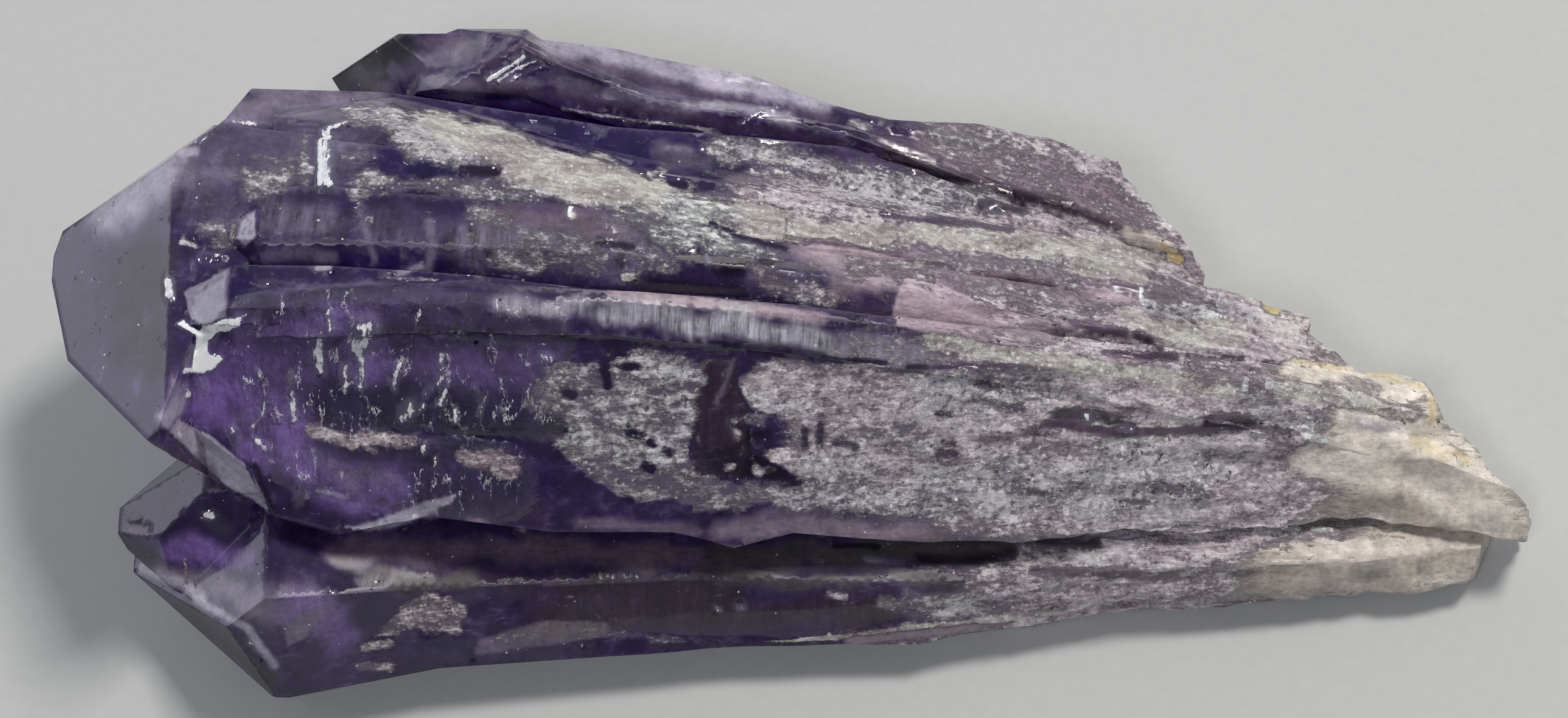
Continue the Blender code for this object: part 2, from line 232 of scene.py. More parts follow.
# The back crystals.
BACK_CRYSTALS = [
    ("olive", 1.7, 1.0, (560, 130), (620, 95), (665, 68)),
    ("olive", 1.3, 0.95, (600, 135), (640, 115), (665, 85)),
    ("haze", 0.9, 0.5, (590, 130), (620, 118)),
    ("ink", 0.6, 1.0, (664, 66), (670, 68)),
    ("haze", 1.0, 0.9, (650, 120), (700, 95), (790, 72)),
    ("russet", 0.8, 0.6, (700, 70), (760, 68)),
    ("mauve", 1.2, 0.9, (710, 130), (790, 142), (860, 150)),
    ("plum", 1.5, 0.75, (800, 110), (860, 75), (905, 95)),
    ("pale", 1.5, 0.82, (910, 78), (1050, 106), (1200, 124)),
    ("pale", 1.0, 0.9, (1160, 122), (1260, 142), (1360, 170)),
    ("plum", 0.7, 0.8, (909, 98), (979, 113), (1053, 124), (1150, 159), (1258, 176), (1366, 198)),
    ("mauve", 1.2, 0.7, (924, 145), (1050, 160), (1120, 178)),
    ("pale", 0.9, 0.75, (1126, 180), (1200, 178), (1300, 200)),
    ("plum", 0.6, 0.85, (795, 138), (905, 156), (979, 174), (1090, 188), (1200, 205), (1279, 219),
     (1387, 237)),
    ("chip", 0.22, 0.9, (803, 131), (835, 110), (861, 94)),
    ("chip", 0.16, 0.8, (818, 133), (850, 112), (880, 100)),
    ("silver", 0.20, 0.8, (838, 133), (865, 118), (893, 109)),
    ("silver", 0.25, 0.8, (1219, 202), (1245, 185), (1275, 178)),
    ("silver", 0.25, 0.75, (673, 152), (730, 160), (795, 170)),
    ("frost", 0.20, 0.8, (924, 179), (1053, 199), (1156, 212)),
    ("frost", 0.6, 0.8, (1400, 203), (1450, 222)),
    ("plum", 1.3, 0.9, (1440, 238), (1505, 252)),
    ("plum", 0.5, 0.9, (1452, 250), (1538, 280), (1625, 301), (1754, 332)),
    ("rough", 2.6, 1.0, (1550, 230), (1650, 260), (1750, 300), (1800, 330)),
    ("rough", 2.2, 1.0, (1815, 330), (1880, 375)),
    ("milk", 2.0, 0.52, (1560, 235), (1650, 262), (1750, 300)),
    ("milk", 1.6, 0.52, (1780, 330), (1870, 375)),
    ("wine", 0.6, 0.9, (1460, 252), (1538, 284), (1625, 308), (1754, 340), (1850, 380)),
    ("frost", 0.8, 0.45, (1530, 220), (1590, 225), (1640, 240)),
    ("frost", 0.6, 0.4, (1660, 270), (1740, 280), (1800, 310)),
    ("tan", 0.9, 0.8, (1850, 392), (1925, 408)),
    ("rust", 0.45, 0.85, (1888, 416), (1936, 424)),
    ("rust", 0.4, 0.75, (1912, 404), (1940, 428)),
]
# The main tip and the ledge behind it.
MAIN_TIP = [
    # Painted reflection: the big tip face is painted paler at the top and dark grey lower down, the fall of
    # the room's reflection across it.
    ("pale", 2.6, 0.78, (275, 262), (235, 305), (180, 345)),
    ("smoke", 3.0, 0.8, (255, 430), (240, 520), (250, 600)),
    ("smoke", 2.6, 0.6, (190, 430), (190, 560)),
    ("pale", 0, 0.66, (302, 478), (379, 438), (376, 480), (371, 520), (347, 528), (336, 534), (311, 518)),
    ("haze", 3.8, 0.58, (340, 240), (440, 250), (560, 240)),
    ("mauve", 1.6, 0.95, (385, 185), (480, 165), (620, 162)),
    ("mauve", 0.9, 0.95, (430, 148), (640, 150)),
    ("silver", 0.3, 0.8, (350, 208), (380, 200), (444, 208)),
    ("silver", 0.25, 0.6, (484, 206), (518, 206)),
    ("silver", 0.3, 0.7, (322, 236), (336, 222)),
    ("chip", 0.2, 0.8, (539, 212), (570, 202)),
    ("pale", 0.5, 0.8, (300, 252), (320, 248)),
    ("mauve", 0.9, 0.9, (300, 287), (380, 285)),
    ("veil", 2.6, 0.6, (320, 330), (360, 345)),
    ("frost", 1.4, 0.7, (405, 292), (465, 290)),
    ("frost", 1.3, 0.68, (405, 318), (450, 312)),
    ("frost", 1.3, 0.62, (345, 375), (375, 385), (370, 402)),
    ("frost", 0.3, 0.8, (300, 396), (320, 404)),
    ("frost", 1.5, 0.35, (430, 255), (470, 262)),
    ("frost", 0.7, 0.55, (500, 235), (502, 300)),
    ("chip", 0.25, 1.0, (527, 232), (527, 303)),
    ("silver", 0.5, 1.0, (537, 220), (537, 305)),
    ("silver", 0.6, 0.9, (535, 290), (543, 306)),
    ("silver", 0.3, 0.7, (548, 225), (557, 248)),
    ("frost", 0.5, 0.6, (565, 257), (602, 255)),
    ("frost", 1.1, 0.68, (580, 300), (622, 294)),
    ("silver", 0.2, 0.7, (673, 268), (676, 298)),
    ("frost", 0.9, 0.65, (681, 302), (734, 298)),
    ("silver", 0.4, 1.0, (277, 462), (279, 486)),
    ("silver", 0.3, 0.7, (331, 420), (363, 420)),
    ("silver", 0.2, 0.7, (316, 434), (317, 446)),
    ("haze", 1.2, 0.4, (560, 185), (620, 182)),
]
# The white band and the dark windows beside it.
WHITE_BAND = [
    ("deep", 1.2, 0.95, (640, 258), (700, 276), (735, 286)),
    ("deep", 1.8, 0.95, (835, 195), (930, 212), (1030, 236), (1120, 255)),
    ("deep", 1.8, 0.95, (960, 230), (1060, 262), (1160, 278)),
    ("band", 0.5, 0.9, (690, 168), (760, 188), (830, 205)),
    ("haze", 1.2, 0.6, (1095, 250), (1140, 268)),
    ("silver", 0.3, 0.5, (852, 206), (905, 214)),
    ("silver", 0.3, 0.6, (968, 208), (990, 220)),
    ("pale", 0.25, 0.35, (758, 183), (832, 205), (854, 219), (960, 249)),
    ("frost", 1.3, 0.85, (578, 182), (640, 190), (690, 215)),
    ("frost", 1.5, 0.9, (640, 205), (700, 237), (780, 264), (860, 288), (950, 312)),
    ("cream", 1.5, 1.0, (715, 200), (800, 230), (870, 255), (960, 280), (1050, 308), (1120, 330)),
    ("cream", 1.4, 0.8, (860, 275), (1000, 312), (1120, 335), (1279, 366)),
    ("ash", 1.1, 0.8, (1110, 330), (1200, 348)),
    ("cream", 0.9, 0.9, (1279, 372), (1452, 388), (1625, 396), (1797, 412), (1900, 430)),
    ("frost", 0.9, 0.6, (620, 303), (760, 303), (880, 322)),
    ("ink", 0.5, 0.95, (760, 278), (815, 282)),
    ("frost", 1.1, 0.85, (1165, 240), (1195, 265)),
    ("frost", 0.5, 0.85, (1072, 286), (1088, 280)),
    ("ink", 0.5, 0.85, (1104, 300), (1124, 304)),
    ("deep", 0.5, 0.95, (1190, 280), (1226, 268)),
    ("frost", 1.2, 0.85, (1185, 247), (1290, 262), (1370, 275)),
    ("frost", 2.0, 0.75, (1400, 298), (1520, 318), (1600, 328)),
    ("rose", 0.6, 0.6, (1200, 295), (1250, 296)),
    ("ink", 0.7, 0.85, (1615, 338), (1680, 343)),
    ("silver", 0.3, 0.8, (1625, 345), (1638, 338)),
    ("plum", 0.4, 0.7, (1450, 352), (1560, 365), (1660, 378)),
    ("ash", 1.5, 0.85, (1020, 362), (1150, 392), (1270, 430)),
    ("ink", 0.25, 0.9, (1167, 366), (1219, 388), (1292, 409)),
    ("silver", 0.4, 0.9, (1295, 370), (1302, 386)),
]
# The centre crystal.
CENTRE_CRYSTAL = [
    ("veil", 2.0, 0.9, (450, 360), (530, 366)),
    ("veil", 2.2, 0.6, (600, 370), (700, 385), (800, 390)),
    ("deep", 1.2, 0.85, (560, 430), (640, 432), (760, 436)),
    ("band", 1.2, 0.5, (640, 360), (700, 370)),
    ("haze", 0.35, 0.8, (590, 345), (603, 385), (615, 427)),
    ("haze", 0.25, 0.6, (655, 380), (662, 422)),
    ("haze", 0.5, 0.8, (705, 365), (712, 400), (702, 446)),
    ("haze", 0.4, 0.8, (761, 376), (787, 453)),
    ("haze", 0.4, 0.7, (790, 372), (802, 427)),
    ("ink", 0.8, 0.7, (735, 400), (748, 445)),
    ("ink", 0.5, 0.6, (805, 354), (824, 446)),
    ("haze", 0.7, 0.7, (440, 420), (500, 414), (545, 424)),
    ("pale", 0.3, 0.9, (520, 441), (542, 439)),
    ("pale", 0.4, 0.7, (655, 448), (690, 438)),
    ("frost", 0.2, 0.7, (636, 457), (717, 460)),
    ("silver", 0.25, 0.5, (418, 460), (525, 472), (621, 466), (673, 457)),
    ("silver", 0.15, 0.8, (413, 425), (413, 446)),
    ("silver", 0.2, 0.8, (418, 425), (418, 457)),
    ("veil", 2.6, 0.8, (790, 400), (900, 405), (1040, 415)),
    ("russet", 1.5, 0.8, (800, 350), (870, 356), (960, 366), (1020, 378)),
    ("frost", 1.2, 0.55, (783, 342), (830, 360)),
    ("frost", 1.6, 0.62, (831, 425), (879, 428)),
    ("frost", 1.6, 0.62, (927, 422), (975, 430)),
    ("frost", 1.2, 0.6, (1056, 425), (1100, 430)),
    ("frost", 1.2, 0.5, (860, 395), (960, 405)),
    ("pale", 0, 0.85, (419, 345), (420, 387), (402, 405), (388, 390), (396, 364)),
    ("cream", 0.4, 0.9, (1025, 456), (1036, 455)),
    ("ink", 0.4, 0.9, (990, 400), (1040, 405)),
    ("chip", 0.25, 0.9, (937, 343), (935, 354)),
    ("silver", 0.3, 0.8, (993, 357), (995, 368)),
    ("silver", 0.3, 0.8, (1004, 366), (1008, 376)),
    ("ink", 1.1, 0.95, (1150, 428), (1210, 440)),
    ("gloom", 0.3, 0.95, (1112, 424), (1230, 428), (1340, 442)),
    ("ink", 0.8, 0.95, (1050, 466), (1130, 470), (1220, 480)),
    ("ink", 0.4, 0.7, (1249, 430), (1267, 432)),
    ("silver", 0.3, 0.7, (1157, 408), (1165, 432)),
    ("frost", 1.0, 0.7, (1240, 455), (1320, 488)),
]
# The ridge and the fresh lilac break.
LONG_RIDGE = [
    ("deep", 1.6, 0.95, (395, 450), (400, 480)),
    ("band", 0.7, 1.0, (425, 500), (474, 489), (529, 481), (658, 474), (805, 469), (930, 474)),
    ("rose", 0.7, 0.95, (1008, 478), (1113, 491), (1245, 508), (1350, 523)),
    # Partly painted sheen: the striated face is painted light grey for the sheen its fine lines spread, and
    # the lines themselves are drawn.
    ("slate", 1.2, 0.85, (830, 502), (900, 502), (1000, 512)),
    ("slate", 1.4, 1.0, (1000, 512), (1113, 522), (1218, 538), (1350, 560)),
    ("slate", 1.3, 0.7, (1350, 562), (1440, 575), (1530, 588)),
    ("band", 1.1, 0.85, (560, 505), (660, 502), (760, 515), (850, 530)),
    ("ink", 0.7, 0.8, (620, 540), (850, 545), (982, 562), (1113, 567), (1218, 568), (1350, 586)),
    ("ink", 0.3, 0.9, (1350, 588), (1455, 595)),
    ("ink", 0.35, 0.8, (1493, 603), (1520, 603)),
    ("plum", 0.25, 0.6, (1520, 603), (1729, 601)),
    ("rose", 1.2, 0.8, (1330, 410), (1400, 420), (1450, 425)),
    ("milk", 1.6, 0.55, (1400, 448), (1500, 440), (1620, 448)),
    ("frost", 1.0, 0.55, (1650, 432), (1760, 452), (1850, 470)),
    ("milk", 1.2, 0.6, (1740, 505), (1850, 530)),
    ("milk", 1.4, 0.55, (1240, 455), (1340, 480), (1400, 500)),
    ("rose", 1.1, 0.8, (1370, 470), (1460, 472)),
    ("plum", 0.8, 0.8, (1385, 510), (1460, 512)),
    ("lilac", 0, 1.0, (1485, 454), (1545, 470), (1603, 492), (1680, 515), (1763, 534), (1745, 560),
     (1715, 572), (1640, 566), (1535, 550), (1472, 534), (1468, 500)),
    ("russet", 0.9, 0.8, (1640, 455), (1725, 468)),
    ("lilac", 1.1, 0.8, (1745, 490), (1800, 482), (1855, 495)),
    ("plum", 0.5, 0.8, (1830, 470), (1870, 478)),
    ("chip", 0.2, 1.0, (1874, 476), (1874, 498)),
    ("chip", 0.4, 0.9, (1878, 498), (1892, 500)),
    ("smoke", 0.6, 0.7, (1895, 483), (1930, 492)),
    ("frost", 0.8, 0.85, (1890, 512), (1990, 508), (2050, 518)),
    ("chip", 0.4, 0.9, (1965, 518), (1995, 518)),
    ("cream", 0.9, 0.95, (1850, 528), (1940, 540), (2035, 550)),
    ("cream", 0.7, 0.85, (1771, 438), (1876, 450)),
    ("cream", 0.35, 0.8, (1998, 453), (2070, 478)),
    ("cream", 0.7, 0.85, (1531, 558), (1611, 577), (1771, 601), (1897, 618), (2024, 643)),
    ("plum", 0.5, 0.85, (1763, 530), (1847, 547)),
    ("ink", 0.5, 0.8, (1866, 550), (1885, 556)),
    ("ink", 0.4, 0.8, (1890, 562), (1904, 572)),
    ("plum", 0.5, 0.75, (1817, 576), (1870, 584), (1931, 586)),
    ("smoke", 0.35, 0.6, (1952, 582), (1990, 590), (2040, 587)),
    ("lilac", 1.1, 0.85, (1950, 614), (2050, 630), (2130, 640)),
    ("chip", 0.35, 0.9, (2045, 626), (2045, 638)),
    ("chip", 0.35, 0.9, (2083, 624), (2085, 636)),
    # Darker brown here, partly painted shade.
    ("brown", 0.8, 0.85, (2078, 606), (2145, 614)),
]
# The front crystal.
FRONT_CRYSTAL = [
    # Painted light: the light violet here is light shining through the thin front crystal.
    ("grape", 3.0, 0.8, (320, 650), (400, 660), (470, 700)),
    ("grape", 2.6, 0.8, (460, 745), (560, 800), (640, 815)),
    ("grape", 1.4, 0.95, (400, 735), (440, 745), (500, 780)),
    ("grape", 1.4, 0.6, (400, 540), (500, 540), (600, 520)),
    ("deep", 3.6, 0.8, (600, 650), (720, 665), (840, 680)),
    ("ink", 1.8, 0.5, (560, 600), (660, 612), (790, 606), (880, 610)),
    ("ink", 2.0, 0.55, (620, 680), (760, 688), (880, 700)),
    ("deep", 1.5, 0.6, (760, 780), (900, 800)),
    ("grape", 2.4, 0.5, (360, 590), (460, 600), (600, 590)),
    ("grape", 2.4, 0.45, (640, 590), (760, 600), (880, 600)),
    ("wine", 0, 0.95, (1153, 586), (1215, 586), (1212, 634), (1232, 668), (1225, 709), (1228, 745),
     (1212, 785), (1132, 782), (1139, 730), (1126, 696), (1139, 641)),
    ("frost", 0, 0.56, (905, 600), (960, 590), (1040, 590), (1158, 588), (1148, 640), (1134, 696),
     (1140, 776), (1225, 788), (1290, 800), (1290, 840), (1150, 835), (1020, 820), (960, 780), (920, 730),
     (880, 690), (862, 650)),
    ("frost", 2.2, 0.75, (915, 640), (935, 660)),
    ("frost", 2.8, 0.78, (1000, 640), (1034, 670)),
    ("frost", 1.6, 0.8, (1060, 600), (1110, 605)),
    ("frost", 2.0, 0.74, (1050, 715), (1085, 735)),
    ("frost", 1.6, 0.78, (1113, 660), (1115, 700)),
    ("frost", 1.5, 0.7, (960, 715), (980, 740)),
    ("frost", 1.0, 0.65, (1000, 785), (1140, 800)),
    ("ink", 0.5, 0.75, (994, 600), (998, 634)),
    ("ink", 0.4, 0.8, (1025, 602), (1045, 602)),
    ("ink", 0.5, 0.8, (930, 645), (942, 648)),
    ("ink", 0.5, 0.72, (1034, 710), (1052, 716)),
    ("ink", 0.45, 0.72, (1068, 726), (1074, 732)),
    ("ink", 0.45, 0.72, (1092, 738), (1102, 744)),
    ("ink", 0.5, 0.68, (1060, 765), (1072, 770)),
    ("ink", 0.8, 0.8, (900, 695), (925, 702)),
    ("ink", 0, 0.95, (1228, 735), (1256, 754), (1296, 775), (1284, 787), (1225, 785)),
    ("ink", 1.2, 0.8, (1165, 755), (1205, 755)),
    ("haze", 0.25, 0.7, (1205, 592), (1192, 630), (1176, 662)),
    ("frost", 0.3, 0.8, (1203, 692), (1207, 693)),
    ("frost", 0.4, 0.8, (1208, 709), (1213, 710)),
    ("frost", 0.4, 0.8, (1198, 767), (1203, 766)),
    ("frost", 0.5, 0.8, (1243, 770), (1246, 776)),
    ("frost", 0.6, 0.75, (1232, 688), (1250, 690)),
    ("pink", 1.1, 0.75, (1182, 868), (1300, 862), (1400, 868), (1540, 880)),
    ("pink", 0.6, 0.6, (950, 858), (1060, 864), (1150, 872)),
    # Painted highlights: the bright hooked flash at the front crystal's left end, then glints across its
    # dark face.
    ("chip", 0, 1.0, (404, 515), (393, 521), (362, 526), (336, 535), (325, 550), (319, 571), (314, 593),
     (312, 604), (326, 607), (347, 607), (355, 600), (365, 588), (360, 581), (352, 586), (342, 579),
     (343, 560), (357, 548), (374, 542), (393, 533), (397, 523)),
    ("chip", 0, 0.95, (290, 534), (302, 527), (311, 535), (328, 545), (323, 550), (309, 542)),
    ("silver", 0.2, 0.8, (308, 515), (334, 537)),
    ("chip", 0.25, 1.0, (302, 609), (334, 607)),
    ("pale", 0.9, 0.95, (289, 633), (287, 666), (267, 688)),
    ("silver", 0.4, 0.8, (304, 637), (308, 650)),
    ("silver", 0.3, 0.7, (330, 626), (334, 637)),
    ("silver", 0.4, 0.8, (540, 512), (544, 541)),
    ("silver", 0.45, 0.95, (525, 558), (527, 607)),
    ("silver", 0.25, 0.8, (514, 567), (514, 593)),
    ("silver", 0.9, 0.95, (599, 534), (604, 552), (597, 571)),
    ("silver", 0.35, 0.95, (593, 571), (595, 607), (592, 633)),
    ("silver", 0.35, 0.9, (573, 596), (566, 610), (567, 633)),
    ("silver", 0.3, 0.9, (658, 596), (651, 615), (647, 637)),
    ("silver", 0.3, 0.95, (726, 582), (725, 607)),
    ("silver", 0.3, 0.9, (728, 618), (722, 629)),
    ("silver", 0.35, 0.8, (708, 637), (698, 648)),
    ("silver", 0.3, 0.95, (733, 641), (722, 663)),
    ("silver", 0.25, 0.95, (748, 670), (749, 692)),
    ("silver", 0.6, 0.9, (673, 666), (663, 688)),
    ("silver", 0.3, 0.85, (695, 666), (676, 681)),
    ("silver", 0.35, 0.95, (481, 641), (484, 687)),
    ("silver", 0.25, 0.9, (435, 659), (431, 681), (415, 700)),
    ("mauve", 0.5, 0.85, (477, 615), (481, 626)),
    ("silver", 0.3, 0.6, (426, 515), (409, 548)),
    ("silver", 0.25, 0.75, (780, 637), (794, 659), (787, 681)),
    ("silver", 0.4, 0.85, (890, 585), (908, 590)),
    ("silver", 0.2, 0.85, (816, 495), (816, 512)),
    ("silver", 0.25, 0.5, (712, 550), (760, 556), (870, 566)),
    ("silver", 0.4, 0.7, (380, 703), (390, 722)),
    ("silver", 0.4, 0.9, (424, 724), (436, 736)),
    ("rosy", 0.7, 1.0, (512, 708), (544, 715), (578, 726)),
    ("rosy", 0.7, 1.0, (589, 719), (635, 722), (676, 726)),
    ("rosy", 0.35, 0.8, (600, 732), (616, 741)),
    ("rosy", 0.9, 1.0, (772, 742), (805, 750), (845, 766)),
    ("rosy", 0.8, 0.9, (800, 762), (832, 776)),
    ("silver", 0.3, 0.9, (697, 730), (697, 741)),
    ("silver", 0.25, 0.9, (716, 749), (714, 764)),
    ("haze", 0.9, 0.55, (520, 750), (585, 795)),
    ("haze", 0.7, 0.55, (600, 776), (652, 788)),
    ("silver", 0.35, 0.8, (493, 805), (491, 823)),
    ("pale", 0.25, 0.7, (522, 805), (570, 816)),
    ("pale", 0, 0.95, (290, 688), (345, 715), (400, 760), (422, 800), (445, 845), (415, 820), (375, 800),
     (315, 745), (280, 710)),
    ("ink", 0.3, 0.95, (419, 764), (431, 796), (449, 838)),
    # Painted highlight: the lit lip of the overhang, in pale and a broken highlight.
    ("pale", 0, 0.95, (560, 866), (600, 860), (650, 842), (700, 822), (752, 810), (742, 826), (700, 848),
     (650, 866), (600, 872)),
    ("silver", 0.45, 0.8, (628, 864), (682, 846)),
    ("rose", 0.3, 0.75, (699, 848), (786, 855), (862, 872)),
]
# The undercut and the low crystals.
LOW_CRYSTALS = [
    ("plum", 1.2, 0.85, (272, 738), (320, 768), (345, 792)),
    ("wine", 0.9, 0.7, (770, 822), (880, 840)),
    ("russet", 1.5, 0.85, (560, 900), (700, 903), (850, 908), (1000, 915), (1150, 918)),
    ("russet", 1.1, 0.75, (870, 890), (980, 900), (1090, 905)),
    # Painted shade: these gloom, ink and smoke marks darken the undercut below the front crystal's lip.
    ("gloom", 1.4, 1.0, (1185, 916), (1400, 908), (1650, 900)),
    ("gloom", 0.9, 0.95, (1150, 948), (1400, 950), (1570, 955)),
    ("ink", 0.6, 0.85, (1510, 916), (1580, 924), (1665, 906)),
    ("ink", 0.35, 0.8, (1371, 896), (1442, 897)),
    ("silver", 0.25, 0.6, (1422, 916), (1482, 924)),
    ("ink", 0.8, 0.8, (1705, 885), (1800, 892)),
    ("smoke", 0.6, 0.7, (1700, 938), (1930, 945)),
    ("frost", 0.6, 0.5, (1720, 915), (1900, 928)),
    ("ink", 1.0, 0.95, (925, 960), (1050, 964), (1210, 980)),
    ("wine", 2.1, 0.95, (900, 1010), (1060, 1008), (1250, 1008), (1450, 1002)),
    ("wine", 1.3, 0.85, (600, 948), (750, 950), (880, 960), (1200, 975)),
    ("rosy", 0.5, 0.45, (950, 1038), (1060, 1044), (1125, 1055)),
    ("frost", 0.4, 0.8, (1364, 975), (1388, 980)),
    ("frost", 0.7, 0.75, (1450, 988), (1500, 1003), (1555, 1002)),
    ("frost", 0.6, 0.85, (1555, 997), (1632, 1008)),
    ("silver", 0.2, 0.9, (1178, 1000), (1180, 1001)),
    ("silver", 0.25, 0.8, (1214, 997), (1219, 997)),
    ("cream", 0.22, 0.85, (1253, 1057), (1371, 1047), (1466, 1034), (1608, 1018), (1750, 1004)),
    ("pink", 0.5, 0.9, (1395, 1052), (1480, 1043), (1640, 1028)),
    ("smoke", 0.3, 0.8, (1070, 1062), (1375, 1056)),
    ("ink", 0.8, 0.85, (212, 895), (255, 915)),
    ("pink", 0.5, 0.7, (216, 870), (236, 872)),
    ("chip", 0.35, 0.9, (340, 845), (346, 846)),
    ("silver", 0.6, 0.5, (335, 845), (372, 870)),
    # Painted light: light violet where light shines through the low crystal.
    ("grape", 1.3, 0.75, (290, 890), (350, 905), (400, 915)),
    ("haze", 2.2, 0.85, (450, 990), (520, 1010)),
    ("mauve", 1.4, 0.9, (265, 938), (340, 955), (415, 985)),
    ("pale", 0.6, 0.8, (235, 933), (295, 955), (330, 980)),
    ("frost", 0.15, 0.8, (304, 918), (306, 963)),
    ("frost", 0.12, 0.8, (319, 940), (320, 966)),
    ("pale", 0.5, 0.8, (322, 985), (405, 1030), (450, 1092)),
    ("silver", 0.35, 0.7, (408, 1052), (455, 1090)),
    ("smoke", 1.3, 1.0, (300, 1000), (369, 1055), (440, 1125)),
    # Painted light: light violet where light shines through the low crystal.
    ("grape", 2.0, 0.6, (480, 990), (560, 1040)),
    ("haze", 0, 0.85, (547, 994), (525, 1016), (500, 1050), (472, 1062), (467, 1037), (484, 1012)),
    ("silver", 0.3, 0.8, (544, 972), (549, 973)),
    ("rosy", 0, 0.72, (661, 998), (685, 978), (711, 970), (740, 980), (763, 997), (774, 1020), (761, 1039),
     (724, 1034), (692, 1028), (668, 1045), (642, 1052), (620, 1050), (640, 1030), (662, 1020)),
    ("frost", 0.5, 0.6, (600, 1062), (640, 1056)),
    ("deep", 0.9, 0.9, (685, 1050), (770, 1062)),
    ("rosy", 0.5, 0.75, (589, 1094), (640, 1096)),
    ("pink", 0, 0.5, (784, 1053), (830, 1036), (900, 1018), (1000, 1022), (1000, 1046), (880, 1062),
     (780, 1076)),
    ("frost", 0.6, 0.4, (820, 1050), (900, 1040), (980, 1036)),
    ("frost", 0.3, 0.7, (820, 955), (860, 952)),
    ("gloom", 1.1, 0.9, (650, 966), (700, 960), (760, 950)),
]
# The root.
ROOT_END = [
    ("tan", 4.6, 0.95, (2240, 740), (2300, 760), (2400, 830)),
    ("tan", 3.5, 0.95, (2380, 790), (2450, 870)),
    # The lower root: the darker finish here is partly the root's colour and partly painted shade.
    ("tan", 2.8, 0.75, (2100, 940), (2250, 920), (2400, 900)),
    ("brown", 2.8, 0.6, (2060, 940), (2220, 925), (2400, 905)),
    ("brown", 2.4, 0.5, (1960, 960), (2060, 950)),
    ("chalk", 2.4, 0.85, (2150, 750), (2230, 765)),
    ("chalk", 1.0, 0.85, (2215, 690), (2260, 695), (2320, 715)),
    ("cream", 0.8, 0.6, (2105, 640), (2230, 658), (2320, 682)),
    ("tan", 1.0, 0.9, (2120, 608), (2250, 620), (2330, 640)),
    ("rust", 0.35, 0.55, (2130, 592), (2250, 612), (2340, 636)),
    ("rust", 0.5, 0.6, (2352, 650), (2354, 690)),
    ("rust", 0.8, 0.45, (2325, 722), (2370, 748)),
    ("rust", 0.4, 0.6, (2395, 745), (2412, 760)),
    ("rust", 0.7, 0.95, (2085, 488), (2098, 508)),
    ("chip", 0.5, 0.9, (2143, 708), (2150, 716)),
    ("chip", 0.4, 0.9, (2152, 714), (2172, 722)),
    ("silver", 0.5, 0.75, (2235, 690), (2262, 700), (2295, 694)),
    # Painted shadow: the shaded fold along the root's lower edge.
    ("brown", 1.3, 0.85, (2125, 858), (2220, 838), (2300, 832), (2368, 868)),
    ("chip", 0.4, 0.9, (2108, 868), (2128, 869)),
    ("chip", 0.3, 0.9, (2157, 871), (2186, 873)),
    ("chalk", 0.9, 0.5, (2165, 890), (2240, 900)),
    ("chalk", 1.6, 0.45, (2380, 800), (2440, 850)),
    ("pale", 0.3, 0.6, (1720, 878), (1850, 884), (1950, 868), (2055, 870)),
    # Darker along the lower rims, partly painted shade.
    ("brown", 0.9, 0.6, (2010, 975), (2110, 968), (2190, 955)),
    ("brown", 0.8, 0.5, (2230, 945), (2300, 960)),
]
MARKS = (
    MILKY_HALF + BACK_CRYSTALS + MAIN_TIP + WHITE_BAND
    + CENTRE_CRYSTAL + LONG_RIDGE + FRONT_CRYSTAL + LOW_CRYSTALS + ROOT_END
)

# The front crystal's dark face carries growth steps along these lines of the photograph.
UPPER_STEP = ((430, 545), (600, 530), (880, 560))
MIDDLE_STEP = ((440, 640), (620, 640), (880, 650))
LOWER_STEP = ((500, 740), (640, 770), (820, 790))
STEP_LINES = (UPPER_STEP, MIDDLE_STEP, LOWER_STEP)
STEP_REACH = (2.6, 4.6)

# A mark fades out between these shares of its half-width; a cover's colour reaches further by this factor.
FADE_OUT = {"glint": (0.1, 2.6), "body": (0.4, 1.5), "cover": (0.2, 1.9)}
COVER_TINT = 1.8

# Marks fade on faces turned away from the photograph, between these slopes and by this share.
TURNED_AWAY = (0.05, 0.30)
TURNED_FADE = 0.8

# How marks fray: how far their edges wander, over what size, both in millimetres, and the random shift.
FRAYS = {"wide": ((1.1, 4.0, 1), (0.5, 1.4, 2)), "fine": ((0.12, 0.8, 3),)}

# The ground under the marks changes along the stone, between these places in millimetres. Its borders
# wander: how far, over what size, and the random shift.
BORDER = (7, 9.0, 4)
WHITE_SPAN = (-8, 34)
WHITE_MOST = 0.85
GROUNDS = (("rose", (0, 34), 0.8), ("tan", (46, 62), 0.95))
BARE_SPAN = (48, 60)
BARE_SHARE = 0.50
LIME_SPAN = (40, 58)

# Relief: how each random pattern is drawn out along and across the ribs, its size in millimetres and its
# random shift.
LUMPS = {
    "coarse rib": (0.12, 1.1, 1.8, 11),
    "narrow rib": (0.18, 1.2, 0.8, 12),
    "lump": (1, 1, 1.5, 13),
    "grain": (1, 1, 0.7, 14),
    "long sway": (1, 1, 3.2, 15),
    "short sway": (1, 1, 1.1, 16),
    "ledge": (1, 1, 2.2, 17),
    "root": (1, 1, 3.5, 18),
}

# How high each stands, or how far it sways, in millimetres.
HEIGHTS = {"coarse rib": 0.50, "narrow rib": 0.28, "root": 0.45, "root lump": 0.25, "crust lump": 0.30,
           "crust grain": 0.20, "glint": 0.14, "long sway": 1.8, "short sway": 0.7, "step": 0.55}

# Ribs begin and the root begins between these places in millimetres; the root calms the ribs by this share.
RIB_SPAN = (-10, 30)
ROOT_SPAN = (46, 60)
ROOT_CALM = 0.85

